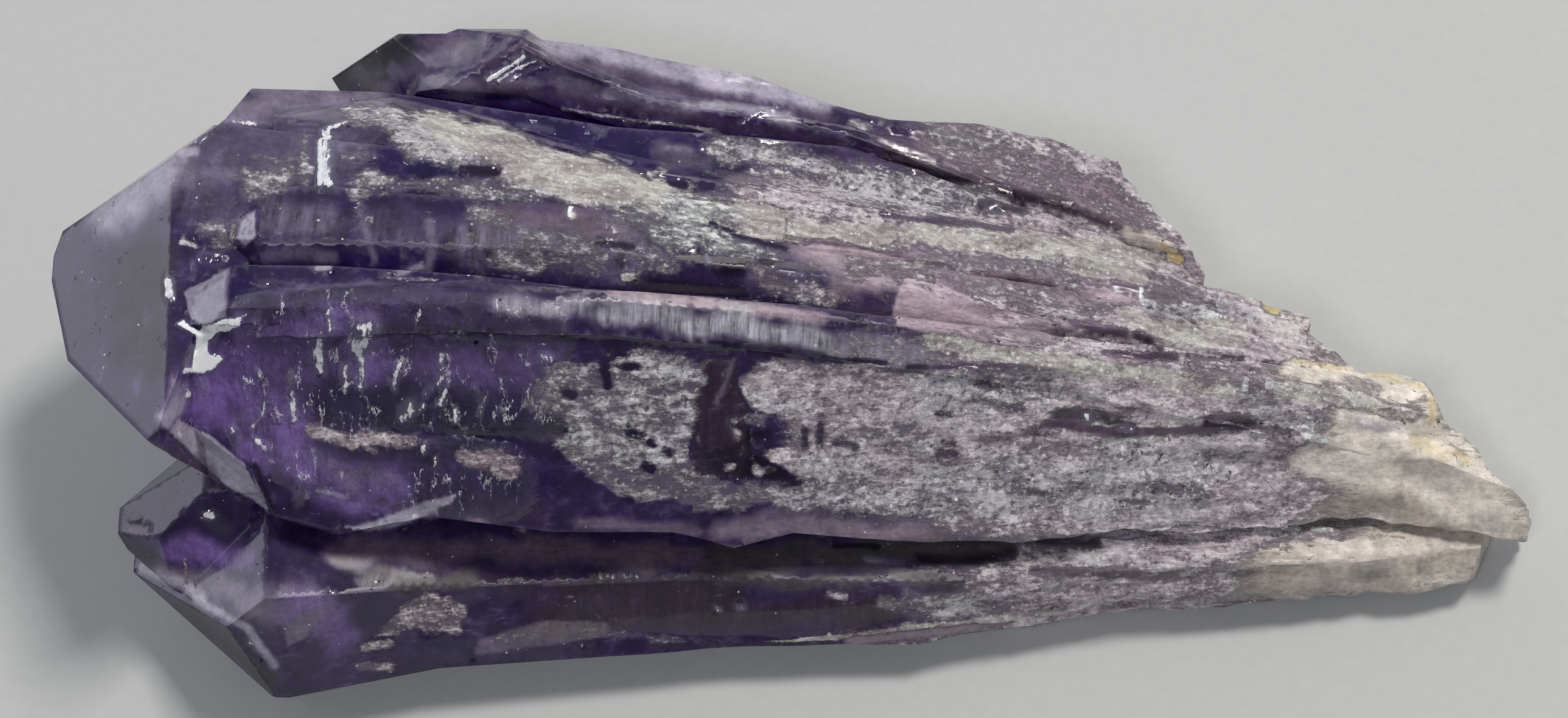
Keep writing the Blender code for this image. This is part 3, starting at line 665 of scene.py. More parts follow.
# The crust and the glints stand out between these strengths.
CRUST_SPAN = (0.25, 0.8)
GLINT_SPAN = (0.3, 0.8)

# Growth steps: how far apart, in millimetres, how quickly each rises, and how even and how varied they are.
STEP_PITCH = 3.1
STEP_RISE = (0.0, 0.14)
STEP_EVEN = 0.5
STEP_VARIED = 0.7

# Each random pattern is shifted by its own number of these steps.
SHIFT = (7.3, 3.1, 5.7)


def only(piece):
    """Select this piece alone."""
    bpy.ops.object.select_all(action="DESELECT")
    piece.select_set(True)
    bpy.context.view_layer.objects.active = piece


def soft(value, low, high):
    """0 below low, 1 above high and a smooth rise between."""
    share = np.clip((value - low) / (high - low), 0, 1)
    return share * share * (3 - 2 * share)


def listed(items, field, wide=3, kind=float):
    """One value or a few for each of a mesh's points, edges, corners or faces."""
    flat = np.empty(len(items) * wide, kind)
    items.foreach_get(field, flat)
    return flat.reshape(-1, wide)


def places(mesh):
    """Every point of a mesh, in millimetres."""
    return listed(mesh.vertices, "co") / MM


def directions(mesh):
    """The outward direction at every point of a mesh."""
    return listed(mesh.vertices, "normal")


def pairs(mesh):
    """The two points of every edge."""
    return listed(mesh.edges, "vertices", 2, int)


def wander(points, size, seed, kind=noise.noise):
    """A smooth random height at every point, from -1 to 1, with lumps of this size."""
    shift = Vector([seed * step for step in SHIFT])
    return np.array([kind(Vector(p) + shift) for p in points / size])


def frayed(flat, points, name):
    """Places in the photograph moved about at random, so that a mark laid on them gets a frayed edge."""
    for reach, size, seed in FRAYS[name]:
        flat = flat + reach * wander(points, size, seed, noise.noise_vector)
    return flat


def fan(points):
    """Where points lie on the fan of ribs: along a rib, across the ribs, and up, in millimetres."""
    away = HUB[0] - points[:, 0]
    side = points[:, 1] - HUB[1]
    along = np.hypot(away, side)
    across = np.arctan2(side, away) * HUB[0]
    return np.stack([along, across, points[:, 2]], axis=1)


# The camera's place and directions, and how many pixels of the photograph one step across spans, one step
# away.
LOOK = Vector((0, math.cos(VIEW_UP), -math.sin(VIEW_UP)))
UPWARD = Vector((0, math.sin(VIEW_UP), math.cos(VIEW_UP)))
EYE = VIEW_AIM - LOOK * VIEW_REACH
SPREAD = PHOTO_WIDE * VIEW_LENS / SENSOR


def seen(points):
    """Points as the photograph sees them: across, down and, counting less, away, in about millimetres."""
    offset = points - np.array(EYE) / MM
    depth = offset @ np.array(LOOK)
    across = PHOTO_WIDE / 2 + SPREAD * offset[:, 0] / depth
    down = PHOTO_HIGH / 2 - SPREAD * (offset @ np.array(UPWARD)) / depth
    return np.stack([across / PIXELS_PER_MM, down / PIXELS_PER_MM, DEPTH_SHARE * depth], axis=1)


def laid(tree, pixels):
    """Pixels of the photograph laid on the stone by rays from the camera; a narrow miss goes to the rim."""
    found = []
    for across, down in pixels:
        side = (across - PHOTO_WIDE / 2) / SPREAD
        rise = (PHOTO_HIGH / 2 - down) / SPREAD
        ray = LOOK + Vector((side, 0, 0)) + UPWARD * rise
        hit = tree.ray_cast(EYE, ray)[0]
        if not hit:
            tries = [tree.find_nearest(EYE + ray * VIEW_REACH * share) for share in RIM_LOOKS]
            place, _, _, away = min(tries, key=lambda nearest: nearest[3])
            hit = place if away < RIM_REACH else None
        if hit:
            found.append(tuple(hit / MM))
    return seen(np.array(found)) if found else None


def gap(points, route):
    """How far each point is from a route through a few places."""
    best = np.full(len(points), NOWHERE)
    if len(route) == 1:
        route = np.concatenate([route, route + DOT])
    for start, end in zip(route[:-1], route[1:]):
        run = end - start
        share = np.clip((points - start) @ run / (run @ run), 0, 1)
        best = np.minimum(best, np.linalg.norm(points - start - share[:, None] * run, axis=1))
    return best


def within(points, outline):
    """How far inside an outline each point lies, as the photograph sees it; less than 0 outside."""
    inside = np.zeros(len(points), bool)
    for start, end in zip(outline, np.roll(outline, -1, axis=0)):
        crosses = (start[1] > points[:, 1]) != (end[1] > points[:, 1])
        rise = end[1] - start[1] or TINY
        border = start[0] + (end[0] - start[0]) * (points[:, 1] - start[1]) / rise
        inside ^= crosses & (points[:, 0] < border)
    away = gap(points, np.concatenate([outline, outline[:1]]))
    same_side = np.abs(points[:, 2] - outline[:, 2].mean()) < DEEP_REACH
    return np.where(inside & same_side, away, -away)


def body_row(name):
    """A body finish as numbers: colour, cloudiness, roughness and lines."""
    code, *rest = BODIES[name]
    return np.array(linear(code)[:3] + rest)


def cover_row(name):
    """A cover finish as numbers: colour, roughness, grit and variation."""
    code, _, *rest = COVERS[name]
    return np.array(linear(code)[:3] + rest)


def ground(points):
    """The stone's finish before any mark: the body, the cover, and how thick the cover lies."""
    body = np.tile(body_row("glass"), (len(points), 1))
    cover = np.tile(cover_row("milk"), (len(points), 1))
    reach, size, seed = BORDER
    x = points[:, 0] + reach * wander(points, size, seed)
    for name, span, most in GROUNDS:
        share = (most * soft(x, *span))[:, None]
        body = body * (1 - share) + body_row(name) * share
    thick = WHITE_MOST * soft(x, *WHITE_SPAN) * (1 - BARE_SHARE * soft(x, *BARE_SPAN))
    root = soft(x, *LIME_SPAN)[:, None]
    return body, cover * (1 - root) + cover_row("lime") * root, thick


def painted(points, normals, routes):
    """The body's finish, the cover's finish, how thick the cover lies, and the glints, at every point."""
    shown = 1 - TURNED_FADE * soft(normals @ np.array(LOOK), *TURNED_AWAY)
    flat = seen(points)
    wide = frayed(flat, points, "wide")
    fine = frayed(flat, points, "fine")
    body, cover, thick = ground(points)
    glint = np.zeros(len(points))
    for (name, half, strength, *_), route in zip(MARKS, routes):
        if route is None:
            continue
        kind = "glint" if name in GLINTS else "body" if name in BODIES else "cover"
        if half:
            near = gap(wide if half > BROAD else fine, route)
        else:
            half = EDGE_BLUR
            near = half - (RIM_SHARE * within(wide, route) if kind == "cover" else within(fine, route))
        whole, gone = FADE_OUT[kind]
        share = strength * shown * (1 - soft(near, whole * half, gone * half))
        if kind == "glint":
            glint = np.maximum(glint, GLINTS[name] * share)
        elif kind == "body":
            body = body + share[:, None] * (body_row(name) - body)
            thick = thick * (1 - share * (CRUMBS_STAY if name in CRUMBED else 1))
            glint = glint * (1 - share)
        else:
            level = COVERS[name][1]
            cover = cover + np.clip(share * COVER_TINT, 0, 1)[:, None] * (cover_row(name) - cover)
            thick = np.maximum(thick, level * share) if level < 1 else thick + share * (level - thick)
    return body, cover, thick, glint


def relief(points, grit, thick, glint, steps):
    """How far each point stands out or in, in millimetres."""
    lanes = fan(points)

    def lumps(name, at=points):
        along, across, size, seed = LUMPS[name]
        return wander(at * (along, across, across), size, seed)

    x = points[:, 0]
    root = soft(x, *ROOT_SPAN)
    ribs = soft(x, *RIB_SPAN) * (1 - ROOT_CALM * root)
    lump = lumps("lump")
    coarse = HEIGHTS["coarse rib"] * lumps("coarse rib", lanes)
    narrow = HEIGHTS["narrow rib"] * lumps("narrow rib", lanes)
    broken = HEIGHTS["root"] * lumps("root") + HEIGHTS["root lump"] * lump
    grains = HEIGHTS["crust lump"] * lump + HEIGHTS["crust grain"] * lumps("grain")
    height = ribs * (coarse + narrow) + root * broken
    height = height + grit * soft(thick, *CRUST_SPAN) * grains
    height = height + HEIGHTS["glint"] * soft(glint, *GLINT_SPAN)
    sway = HEIGHTS["long sway"] * lumps("long sway") + HEIGHTS["short sway"] * lumps("short sway")
    phase = ((x + sway) / STEP_PITCH) % 1.0
    varied = STEP_EVEN + STEP_VARIED * lumps("ledge")
    return height + steps * (HEIGHTS["step"] * soft(phase, *STEP_RISE) * (1 - phase) * varied)


def store(mesh, name, values):
    """Keep a value, a place or a colour for every point on the mesh."""
    wide = values.shape[1] if values.ndim > 1 else 1
    kind, field = {1: ("FLOAT", "value"), 3: ("FLOAT_VECTOR", "vector"), 4: ("FLOAT_COLOR", "color")}[wide]
    layer = mesh.attributes.new(name, kind, "POINT")
    layer.data.foreach_set(field, np.asarray(values, np.float32).ravel())


def longest(middle, normal_up, routes):
    """The longest edge allowed at each place, in millimetres."""
    limit = np.where((normal_up < FACES_DOWN) | (middle[:, 2] < FOOT), UNDER_EDGE, TOP_EDGE)
    flat = seen(middle)
    for (name, half, *_), route in zip(MARKS, routes):
        if route is None or half > THIN or (name in COVERS and not half):
            continue
        if not half:
            half = EDGE_BLUR
            route = np.concatenate([route, route[:1]])
        low = route.min(axis=0) - AROUND
        high = route.max(axis=0) + AROUND
        close = np.flatnonzero(((flat > low) & (flat < high)).all(axis=1))
        if len(close):
            near = gap(flat[close], route)
            short = np.minimum(limit[close], MARK_EDGE)
            limit[close] = np.where(near < half + BESIDE, short, limit[close])
    return limit


def cut_small(piece, routes):
    """Split every edge that is too long, over and over, and keep triangles."""
    mesh = piece.data
    bpy.context.tool_settings.mesh_select_mode = (False, True, False)
    for _ in range(CUTS):
        points = places(mesh)
        normals = directions(mesh)
        ends = pairs(mesh)
        length = np.linalg.norm(points[ends[:, 0]] - points[ends[:, 1]], axis=1)
        middle = points[ends].mean(axis=1)
        limit = longest(middle, normals[ends].mean(axis=1)[:, 2], routes)
        long = length > limit
        if not long.any():
            break
        mesh.vertices.foreach_set("select", np.zeros(len(mesh.vertices), bool))
        mesh.polygons.foreach_set("select", np.zeros(len(mesh.polygons), bool))
        mesh.edges.foreach_set("select", long)
        bpy.ops.object.mode_set(mode="EDIT")
        bpy.ops.mesh.subdivide(number_cuts=1)
        bpy.ops.mesh.select_all(action="SELECT")
        bpy.ops.mesh.quads_convert_to_tris(quad_method="SHORTEST_DIAGONAL", ngon_method="BEAUTY")
        bpy.ops.object.mode_set(mode="OBJECT")
    bpy.context.tool_settings.mesh_select_mode = (True, False, False)


def worn_edges(mesh):
    """1 at points on a sharp edge that stands out, and 0 elsewhere."""
    normals = listed(mesh.polygons, "normal")
    centres = listed(mesh.polygons, "center")
    edges = listed(mesh.loops, "edge_index", 1, int).ravel()
    owner = np.repeat(np.arange(len(mesh.polygons)), 3)
    order = np.argsort(edges, kind="stable")
    count = np.bincount(edges, minlength=len(mesh.edges))
    start = np.cumsum(count) - count
    shared = np.flatnonzero(count == 2)
    first = owner[order[start[shared]]]
    second = owner[order[start[shared] + 1]]
    turn = (normals[first] * normals[second]).sum(axis=1)
    stands_out = ((centres[second] - centres[first]) * normals[first]).sum(axis=1) < 0
    sharp = shared[(turn < math.cos(WORN_ANGLE)) & stands_out]
    worn = np.zeros(len(mesh.vertices))
    worn[pairs(mesh)[sharp].ravel()] = 1
    return worn


def merged_copy():
    """A copy of the solid with the points of its faces merged, as a piece of its own."""
    piece = bpy.data.objects.new("amethyst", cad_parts[NODE].data.copy())
    bpy.context.scene.collection.objects.link(piece)
    only(piece)
    bpy.ops.object.mode_set(mode="EDIT")
    bpy.ops.mesh.select_all(action="SELECT")
    bpy.ops.mesh.remove_doubles(threshold=SAME_POINT)
    bpy.ops.object.mode_set(mode="OBJECT")
    return piece


def stone():
    """The whole stone: the solid's own faces, merged, cut small, roughened and painted."""
    piece = merged_copy()
    mesh = piece.data
    tree = BVHTree.FromPolygons([v.co for v in mesh.vertices], [tuple(p.vertices) for p in mesh.polygons])
    routes = [laid(tree, mark[3:]) for mark in MARKS]
    cut_small(piece, routes)
    for layer in list(mesh.uv_layers):
        mesh.uv_layers.remove(layer)
    points = places(mesh)
    flat = seen(points)
    worn = worn_edges(mesh)
    body, cover, thick, glint = painted(points, directions(mesh), routes)
    cloud, gloss, lines = body[:, 3:].T
    matt, grit, mottle = cover[:, 3:].T
    steps = 1 - soft(np.min([gap(flat, laid(tree, line)) for line in STEP_LINES], axis=0), *STEP_REACH)
    moved = points + directions(mesh) * relief(points, grit, thick, glint, steps)[:, None]
    low, high = np.array(cad_box) / MM
    mesh.vertices.foreach_set("co", (np.clip(moved, low, high) * MM).ravel())
    mesh.update()
    opaque = np.ones((len(points), 1))
    kept = {
        "fan": fan(points),
        "body": np.concatenate([body[:, :3], opaque], axis=1),
        "cover": np.concatenate([cover[:, :3], opaque], axis=1),
        "cloud": cloud, "gloss": gloss, "lines": lines, "matt": matt, "grit": grit, "mottle": mottle,
        "thick": thick, "glint": glint, "worn": worn, "steps": steps,
    }
    for name, values in kept.items():
        store(mesh, name, values)
    only(piece)
    bpy.ops.object.shade_smooth_by_angle(angle=SMOOTH_ANGLE)
    return piece


# Cloudy patterns of the quartz: lumps in each millimetre along a rib and across it, detail and roughness.
PATTERNS = {
    "broad": (0.16, 0.46, 9.0, 0.70),
    "middle": (0.60, 1.6, 7.0, 0.72),
    "strokes": (0.55, 2.6, 5.0, 0.66),
    "shards": (2.4, 0.9, 4.0, 0.65),
    "bends": (0.48, 0.20, 7.0, 0.66),
    "chosen": (0.45, 0.30, 3.0, 0.5),
    "deep": (0.30, 0.34, 8.0, 0.66),
    "veils": (0.85, 0.16, 9.0, 0.68),
    "scratches": (2.2, 0.22, 5.0, 0.60),
}

# Patterns with no direction: lumps in each metre, detail, and roughness.
CRUMBS = (1500.0, 5.0, 0.72)
SPECKLE = (3200.0, 3.0, 0.6)
BOARD_GRAIN = (700.0, 2.0)

# The board's roughness and shine, and the middle of a pattern from 0 to 1.
BOARD_ROUGH = 0.85
BOARD_SHINE = 0.2
MIDDLE = 0.5

# Crystal faces and specks of painted sparkle in each metre.
FACES = 2000.0
SPECKS = 800.0

# How much each pattern sways the sum that it is part of.
SWAYS = {
    "crust thick": 2.0, "crust broad": 2.4, "crust middle": 2.8, "crust crumbs": 2.0,
    "shard": 2.2, "shard crumbs": 1.0, "streak": 2.4, "speckle": 1.4,
    "scratch": 3.2, "wisp": -5.6, "tone crumbs": 1.3, "comb": 2.2, "mist middle": 0.7,
}

# Slope and start of the values that a pattern or a finish is turned into.
SLOPES = {
    "worn crumbs": (3.0, -2.3), "marked shard": (2.2, -1.70), "speck size": (0.17, -0.05),
    "crust light": (2.2, -0.02), "depth": (-2.4, 3.6), "glossy face": (-0.75, 1.0),
}

# Each look is absent at the first value and whole at the second; where four are given, it goes from the
# third to the fourth.
SPANS = {
    "crust": (-0.45, 0.50), "worn": (0.0, 0.5), "stroke": (0.76, 0.90), "streaky": (1.0, 0.82),
    "face middle": (0.38, 0.26), "bright face": (0.48, 0.54), "sparkling crust": (0.25, 0.60),
    "shard": (0.0, 0.2), "marked": (0.1, 0.4), "curve": (0.018, 0.007), "chosen": (0.50, 0.57),
    "curve light": (0.40, 0.60, 0.15, 0.9), "speck_glint_zones": (0.42, 0.60), "greyed": (0.52, 0.36),
    "pinker": (0.54, 0.44), "combed": (0.15, 0.40, 0.15, 1.0), "mist": (0.54, 0.76), "veil": (0.52, 0.80),
    "covered": (0.22, 0.62), "halo": (0.04, 0.60), "halo on glass": (0.50, 0.10, 0.0, 0.34),
    "flash crumbs": (0.38, 0.58), "whole flash": (0.95, 1.15), "open": (0.22, 0.62, 1.0, 0.35),
}

# Faces whose random green is above the first are painted white as sparkle, and the body is never darker
# than the second.
SPARKLE_FROM = 0.72
DARKEST = 0.25

# How much of each look is mixed in or added.
PARTS = {
    "speck_glints": 0.8, "stroke broad": 0.5, "mist": 0.6, "covered": 0.68, "worn": 0.16, "worn rough": 0.5,
    "dents": 2.5, "lines": 0.05, "turned": 0.9,
}

# The crust's greyer and pinker parts, as shares of its red, green and blue.
GREYER = (0.42, 0.39, 0.47)
PINKER = (0.88, 0.80, 0.87)

# Bumps are this deep, in metres. Quartz bends light by its own index and takes in this much of it.
BUMP_STRENGTH = 0.9
BUMP_DEPTH = 0.0006
QUARTZ_IOR = 1.544
ABSORPTION = 150.0

# The table, in metres: how wide it is, and how far it lies under the stone.
TABLE_SIZE = 3
TABLE_DROP = -0.02 * MM

# The light from all round: bright low down and fading upwards, and fading towards the front.
WALLS = {"To_Min": 1.1, "To_Max": 0.18}
BEHIND = {"From_Min": -0.5, "From_Max": 0.6, "To_Min": 0.16}

# The lamps: name, place, aim, width and height, all in metres, then brightness and colour.
LAMPS = (
    ("lamp above", (0.25, 0.20, 0.78), (0, 0, 0), 0.20, 0.20, 35.0, "#fffbf4"),
    ("lamp in front", (-0.16, -0.42, 0.62), (0, 0, 0), 0.13, 0.13, 25.0, "#f6f8ff"),
    ("low window", (-0.52, 0.31, 0.13), (-0.06, 0, 0.02), 0.5, 0.25, 0.95, "#eef2fb"),
)


def add(tree, kind, settings=None, **links):
    """Add a node with its settings and its inputs, by name or as i0, i1 by number: a value or a socket."""
    node = tree.nodes.new(kind)
    for name, value in (settings or {}).items():
        setattr(node, name, value)
    for name, value in links.items():
        number = name[1:]
        socket = node.inputs[int(number)] if number.isdigit() else node.inputs[name.replace("_", " ")]
        if isinstance(value, bpy.types.NodeSocket):
            tree.links.new(value, socket)
        else:
            socket.default_value = value
    return node


def tree_of(*values):
    """The node tree of the first socket among these values."""
    return next(value for value in values if isinstance(value, bpy.types.NodeSocket)).id_data


def numbered(values):
    """Inputs given by their number."""
    return {f"i{n}": value for n, value in enumerate(values)}


def maths(operation, *inputs):
    """One step of arithmetic on sockets and numbers."""
    return add(tree_of(*inputs), "ShaderNodeMath", {"operation": operation}, **numbered(inputs)).outputs[0]


def vector(operation, *inputs, **named):
    """One step of arithmetic on directions or colours."""
    settings = {"operation": operation}
    return add(tree_of(*inputs), "ShaderNodeVectorMath", settings, **numbered(inputs), **named).outputs[0]


def times(*values):
    """All the values multiplied."""
    return reduce(lambda first, second: maths("MULTIPLY", first, second), values)


def plus(*values):
    """All the values added up."""
    return reduce(lambda first, second: maths("ADD", first, second), values)


def most(*values):
    """The highest of the values."""
    return reduce(lambda first, second: maths("MAXIMUM", first, second), values)


def rest(value):
    """What is left of one."""
    return maths("SUBTRACT", 1.0, value)


def slope(value, name):
    """A value on its named slope."""
    return maths("MULTIPLY_ADD", value, *SLOPES[name])


def sway(value, name):
    """A pattern from 0 to 1 turned into one that sways about 0 by its named amount."""
    return maths("MULTIPLY_ADD", value, SWAYS[name], -SWAYS[name] / 2)


def ramp(value, name):
    """A smooth rise or fall over the named span."""
    low, high, start, end = (*SPANS[name], 0.0, 1.0)[:4]
    settings = {"interpolation_type": "SMOOTHSTEP"}
    limits = {"From_Min": low, "From_Max": high, "To_Min": start, "To_Max": end}
    return add(tree_of(value), "ShaderNodeMapRange", settings, Value=value, **limits).outputs["Result"]


def mixed(share, first, second):
    """One colour passing into another."""
    node = add(tree_of(share), "ShaderNodeMix", {"data_type": "RGBA"}, Factor=share, i6=first, i7=second)
    return node.outputs[2]


def clouds(at, scale, detail, rough):
    """A cloudy pattern from 0 to 1."""
    look = {"Scale": scale, "Detail": detail, "Roughness": rough}
    return add(tree_of(at), "ShaderNodeTexNoise", None, Vector=at, **look).outputs["Fac"]


def cells(at, scale):
    """Small cells: how far a place is from its cell's middle, and the cell's own random colour."""
    node = add(tree_of(at), "ShaderNodeTexVoronoi", None, Vector=at, Scale=scale)
    away = node.outputs["Distance"]
    colour = node.outputs["Color"]
    split = add(tree_of(at), "ShaderNodeSeparateColor", None, Color=colour).outputs
    return SimpleNamespace(away=away, colour=colour, red=split["Red"], green=split["Green"])


def fields(tree):
    """The values that the mesh keeps and the patterns drawn over it, each under its own name."""
    f = SimpleNamespace()

    def kept(name, output):
        return add(tree, "ShaderNodeAttribute", {"attribute_name": name}).outputs[output]

    for name in ("cloud", "gloss", "lines", "thick", "matt", "grit", "worn", "glint", "steps", "mottle"):
        setattr(f, name, kept(name, "Fac"))
    f.body = kept("body", "Color")
    f.cover = kept("cover", "Color")
    lanes = kept("fan", "Vector")
    for name, (along, across, detail, rough) in PATTERNS.items():
        setattr(f, name, clouds(vector("MULTIPLY", lanes, (along, across, across)), 1.0, detail, rough))
    f.place = add(tree, "ShaderNodeTexCoord").outputs["Object"]
    f.crumbs = clouds(f.place, *CRUMBS)
    f.faces = cells(f.place, FACES)
    return f


def crusted(f):
    """Where the white lies: patches of 2 to 5 mm drawn out along the ribs, breaking into crumbs."""
    ragged = plus(sway(f.broad, "crust broad"), sway(f.middle, "crust middle"))
    ragged = plus(ragged, sway(f.crumbs, "crust crumbs"))
    return ramp(plus(sway(f.thick, "crust thick"), ragged), "crust")


def flashing(f):
    """Where white highlights are painted in for flashes of light."""
    # Painted sparkle: some of the tiny crystal faces are painted white.
    sparkle = times(maths("GREATER_THAN", f.faces.green, SPARKLE_FROM), ramp(f.faces.away, "face middle"))
    sparkle = times(sparkle, times(ramp(f.thick, "sparkling crust"), f.grit))
    # Painted glints: the marked shards.
    shard = plus(slope(f.glint, "marked shard"), sway(f.shards, "shard"), sway(f.crumbs, "shard crumbs"))
    marked = times(ramp(shard, "shard"), ramp(f.glint, "marked"))
    # Painted highlights: thin broken curves, where the growth steps would catch the light.
    crossing = maths("ABSOLUTE", maths("SUBTRACT", f.bends, MIDDLE))
    where = times(ramp(f.chosen, "chosen"), f.steps)
    curves = times(times(ramp(crossing, "curve"), where), ramp(f.crumbs, "curve light"))
    # Painted sparkle: a few tiny specks.
    specks = cells(f.place, SPECKS)
    speck_glints = times(maths("LESS_THAN", specks.away, slope(specks.red, "speck size")), ramp(f.broad, "speck_glint_zones"))
    return most(marked, curves, times(speck_glints, PARTS["speck_glints"]), sparkle)


def crust_colour(f, crust):
    """The crusts are whiter, greyer and pinker in turns, with paler strokes along the ribs."""
    streaky = times(sway(f.strokes, "streak"), ramp(f.grit, "streaky"))
    shade = times(plus(sway(clouds(f.place, *SPECKLE), "speckle"), streaky), f.mottle)
    white = vector("SCALE", f.cover, Scale=plus(shade, slope(f.broad, "crust light")))
    colour = mixed(ramp(f.broad, "pinker"), white, vector("MULTIPLY", white, PINKER))
    colour = mixed(times(ramp(f.crumbs, "greyed"), f.mottle), colour, vector("MULTIPLY", white, GREYER))
    stroke = ramp(maths("MULTIPLY_ADD", f.broad, PARTS["stroke broad"], f.strokes), "stroke")
    return mixed(times(stroke, times(crust, f.mottle)), colour, linear("#f1eeee"))


def streaks(f):
    """Fine lines across the ribs where a finish has lines, and wispy veils where it has less than none."""
    fine_lines = times(maths("MAXIMUM", f.lines, 0.0), sway(f.scratches, "scratch"))
    wisps = times(maths("MINIMUM", f.lines, 0.0), sway(f.veils, "wisp"))
    return plus(fine_lines, wisps)


def misty(f):
    """How thick the mist is inside the clear quartz."""
    mist = times(ramp(plus(f.deep, sway(f.middle, "mist middle")), "mist"), PARTS["mist"])
    return times(most(mist, times(f.steps, ramp(f.veils, "veil"))), rest(f.cloud))


def body_colour(f, streak, mist):
    """The body is darker and paler in turns, with mist inside it."""
    tone = maths("MULTIPLY_ADD", maths("SUBTRACT", f.deep, MIDDLE), slope(f.cloud, "depth"), 1.0)
    tone = plus(tone, streak, sway(f.crumbs, "tone crumbs"))
    tone = plus(tone, times(sway(f.strokes, "comb"), times(ramp(f.gloss, "combed"), f.mottle)))
    colour = vector("SCALE", f.body, Scale=most(tone, DARKEST))
    colour = mixed(mist, colour, mixed(f.steps, linear("#7d7691"), linear("#7565a6")))
    return mixed(times(ramp(f.thick, "covered"), PARTS["covered"]), colour, linear("#827a8a"))


def whole_colour(f, crust, flash, streak, mist):
    """The colour of body and crust together, paler on worn edges, with painted highlights at the flashing
    places.
    """
    base = mixed(crust, body_colour(f, streak, mist), crust_colour(f, crust))
    worn = ramp(plus(f.worn, slope(f.crumbs, "worn crumbs")), "worn")
    base = mixed(times(worn, PARTS["worn"]), base, linear("#c9c6d2"))
    # Painted glow: a bluish halo round the glints, on the clear quartz.
    base = mixed(times(ramp(f.glint, "halo"), ramp(f.thick, "halo on glass")), base, linear("#9a97b4"))
    # Painted highlights: the flashing places are painted pale grey to white.
    whole = most(ramp(f.crumbs, "flash crumbs"), ramp(f.glint, "whole flash"))
    return mixed(flash, base, mixed(whole, linear("#c2c2cf"), linear("#f6f7f8")))


def roughness(f, crust):
    """Each finish has its own; some of the crust's tiny faces are glossy, and worn edges are matt."""
    crust_rough = times(f.matt, slope(ramp(f.faces.red, "bright face"), "glossy face"))
    both = add(tree_of(crust), "ShaderNodeMix", None, Factor=crust, i2=f.gloss, i3=crust_rough).outputs[0]
    return maths("MULTIPLY_ADD", f.worn, PARTS["worn rough"], both)


def facing(f, crust, streak):
    """Which way the surface faces: crumbs, lines, dents and faces of 0.5 mm, coarser than the real ones."""
    gritty = times(f.grit, crust)
    dents = times(f.bends, times(f.steps, PARTS["dents"]))
    height = plus(times(f.crumbs, gritty), maths("MULTIPLY_ADD", streak, PARTS["lines"], dents))
    settings = {"Strength": BUMP_STRENGTH, "Distance": BUMP_DEPTH}
    bump = add(tree_of(height), "ShaderNodeBump", None, Height=height, **settings).outputs["Normal"]
    centred = vector("SUBTRACT", f.faces.colour, (MIDDLE, MIDDLE, MIDDLE))
    turned = vector("SCALE", centred, Scale=times(gritty, PARTS["turned"]))
    return vector("NORMALIZE", vector("ADD", bump, turned))


def quartz():
    """Amethyst: violet quartz, clear and glossy at the tips, under white crusts of tiny crystals."""
    material = bpy.data.materials.new("amethyst_quartz")
    material.use_nodes = True
    tree = material.node_tree
    shader = tree.nodes["Principled BSDF"].inputs
    f = fields(tree)
    crust = crusted(f)
    flash = flashing(f)
    streak = streaks(f)
    mist = misty(f)
    cloud = plus(f.cloud, times(mist, PARTS["mist"]))
    clear = times(times(rest(crust), rest(flash)), rest(cloud))
    tree.links.new(whole_colour(f, crust, flash, streak, mist), shader["Base Color"])
    tree.links.new(times(clear, ramp(f.thick, "open")), shader["Transmission Weight"])
    tree.links.new(roughness(f, crust), shader["Roughness"])
    tree.links.new(facing(f, crust, streak), shader["Normal"])
    shader["IOR"].default_value = QUARTZ_IOR
    absorb = add(tree, "ShaderNodeVolumeAbsorption", None, Color=linear("#bc65d5"), Density=ABSORPTION)
    tree.links.new(absorb.outputs[0], tree.nodes["Material Output"].inputs["Volume"])
    return material


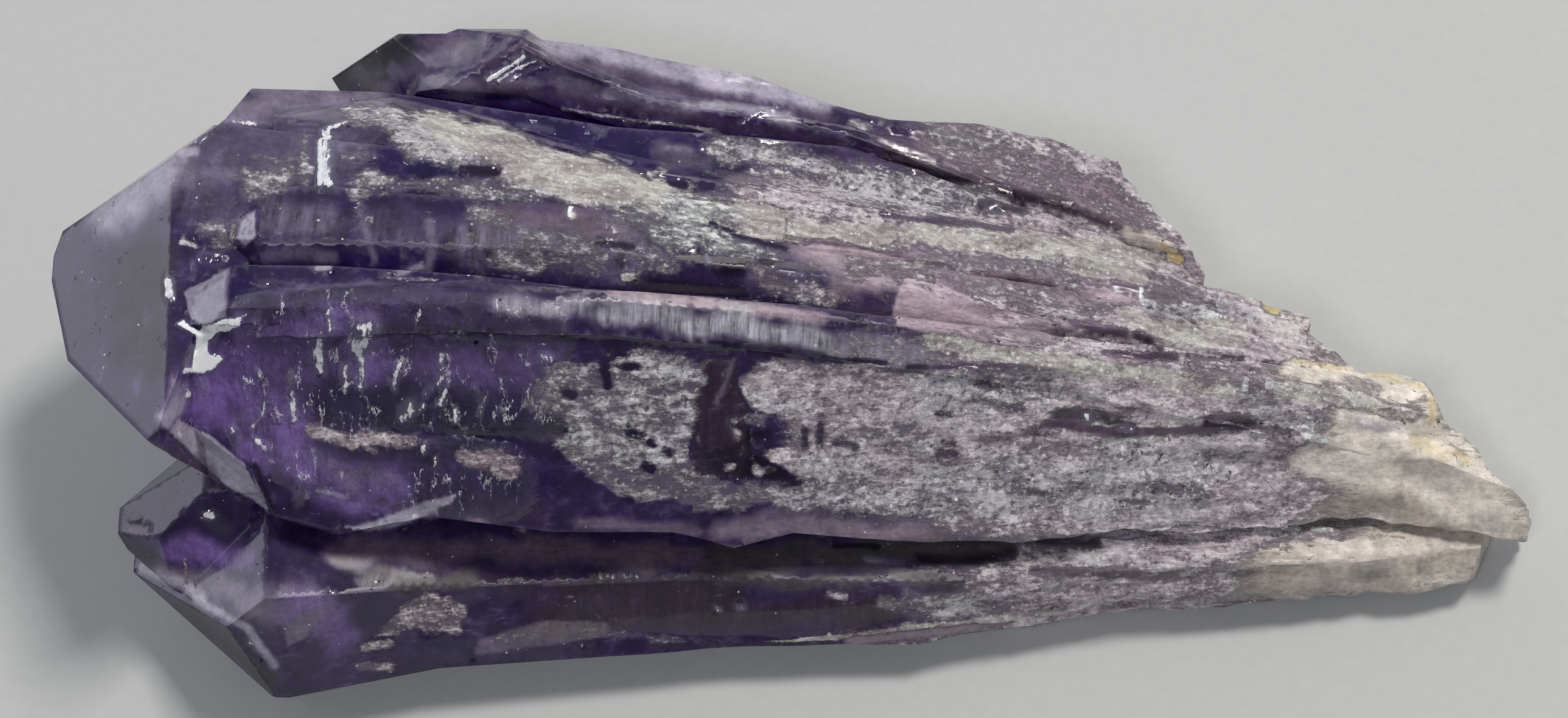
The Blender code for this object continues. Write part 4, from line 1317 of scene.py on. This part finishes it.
def table():
    """A plain pale table: matt board, which throws soft light back and has no shine of its own."""
    bpy.ops.mesh.primitive_plane_add(size=TABLE_SIZE, location=(0, 0, TABLE_DROP))
    floor = bpy.context.object
    floor.name = "table"
    material = bpy.data.materials.new("pale_matt_board")
    material.use_nodes = True
    tree = material.node_tree
    shader = tree.nodes["Principled BSDF"].inputs
    place = add(tree, "ShaderNodeTexCoord").outputs["Object"]
    scale, detail = BOARD_GRAIN
    grain = add(tree, "ShaderNodeTexNoise", None, Vector=place, Scale=scale, Detail=detail).outputs["Fac"]
    tree.links.new(mixed(grain, linear("#bfc1c1"), linear("#c7c8c8")), shader["Base Color"])
    shader["Roughness"].default_value = BOARD_ROUGH
    shader["Specular IOR Level"].default_value = BOARD_SHINE
    floor.data.materials.append(material)


def lamp(name, place, aim, wide, high, radiance, code):
    """A soft light of this size, in metres, aimed at a point; radiance is its brightness as a surface."""
    data = bpy.data.lights.new(name, "AREA")
    data.shape = "RECTANGLE"
    data.size = wide
    data.size_y = high
    data.energy = radiance * math.pi * wide * high
    data.color = linear(code)[:3]
    light = bpy.data.objects.new(name, data)
    light.location = place
    light.rotation_euler = (Vector(aim) - Vector(place)).to_track_quat("-Z", "Y").to_euler()
    bpy.context.scene.collection.objects.link(light)


def studio():
    """Soft light from above and behind, bright low walls all round, and a window low at the left."""
    world = bpy.data.worlds.new("studio")
    world.use_nodes = True
    tree = world.node_tree
    back = tree.nodes["Background"].inputs
    heading = add(tree, "ShaderNodeTexCoord").outputs["Generated"]
    split = add(tree, "ShaderNodeSeparateXYZ", None, i0=heading).outputs
    low = add(tree, "ShaderNodeMapRange", None, Value=split["Z"], **WALLS).outputs["Result"]
    behind = add(tree, "ShaderNodeMapRange", None, Value=split["Y"], **BEHIND).outputs["Result"]
    tree.links.new(times(low, behind), back["Strength"])
    back["Color"].default_value = linear("#f0f3f8")
    bpy.context.scene.world = world
    for lamp_row in LAMPS:
        lamp(*lamp_row)
    bpy.context.scene.view_settings.view_transform = "Standard"


def camera():
    """The photograph's view: from above the front."""
    data = bpy.data.cameras.new("camera")
    data.lens = VIEW_LENS
    data.sensor_width = SENSOR
    eye = bpy.data.objects.new("camera", data)
    eye.location = EYE
    eye.rotation_euler = LOOK.to_track_quat("-Z", "Y").to_euler()
    bpy.context.scene.collection.objects.link(eye)
    bpy.context.scene.camera = eye


amethyst = stone()
amethyst.data.materials.clear()
amethyst.data.materials.append(quartz())
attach(amethyst, "root")
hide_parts(NODE)
table()
studio()
camera()
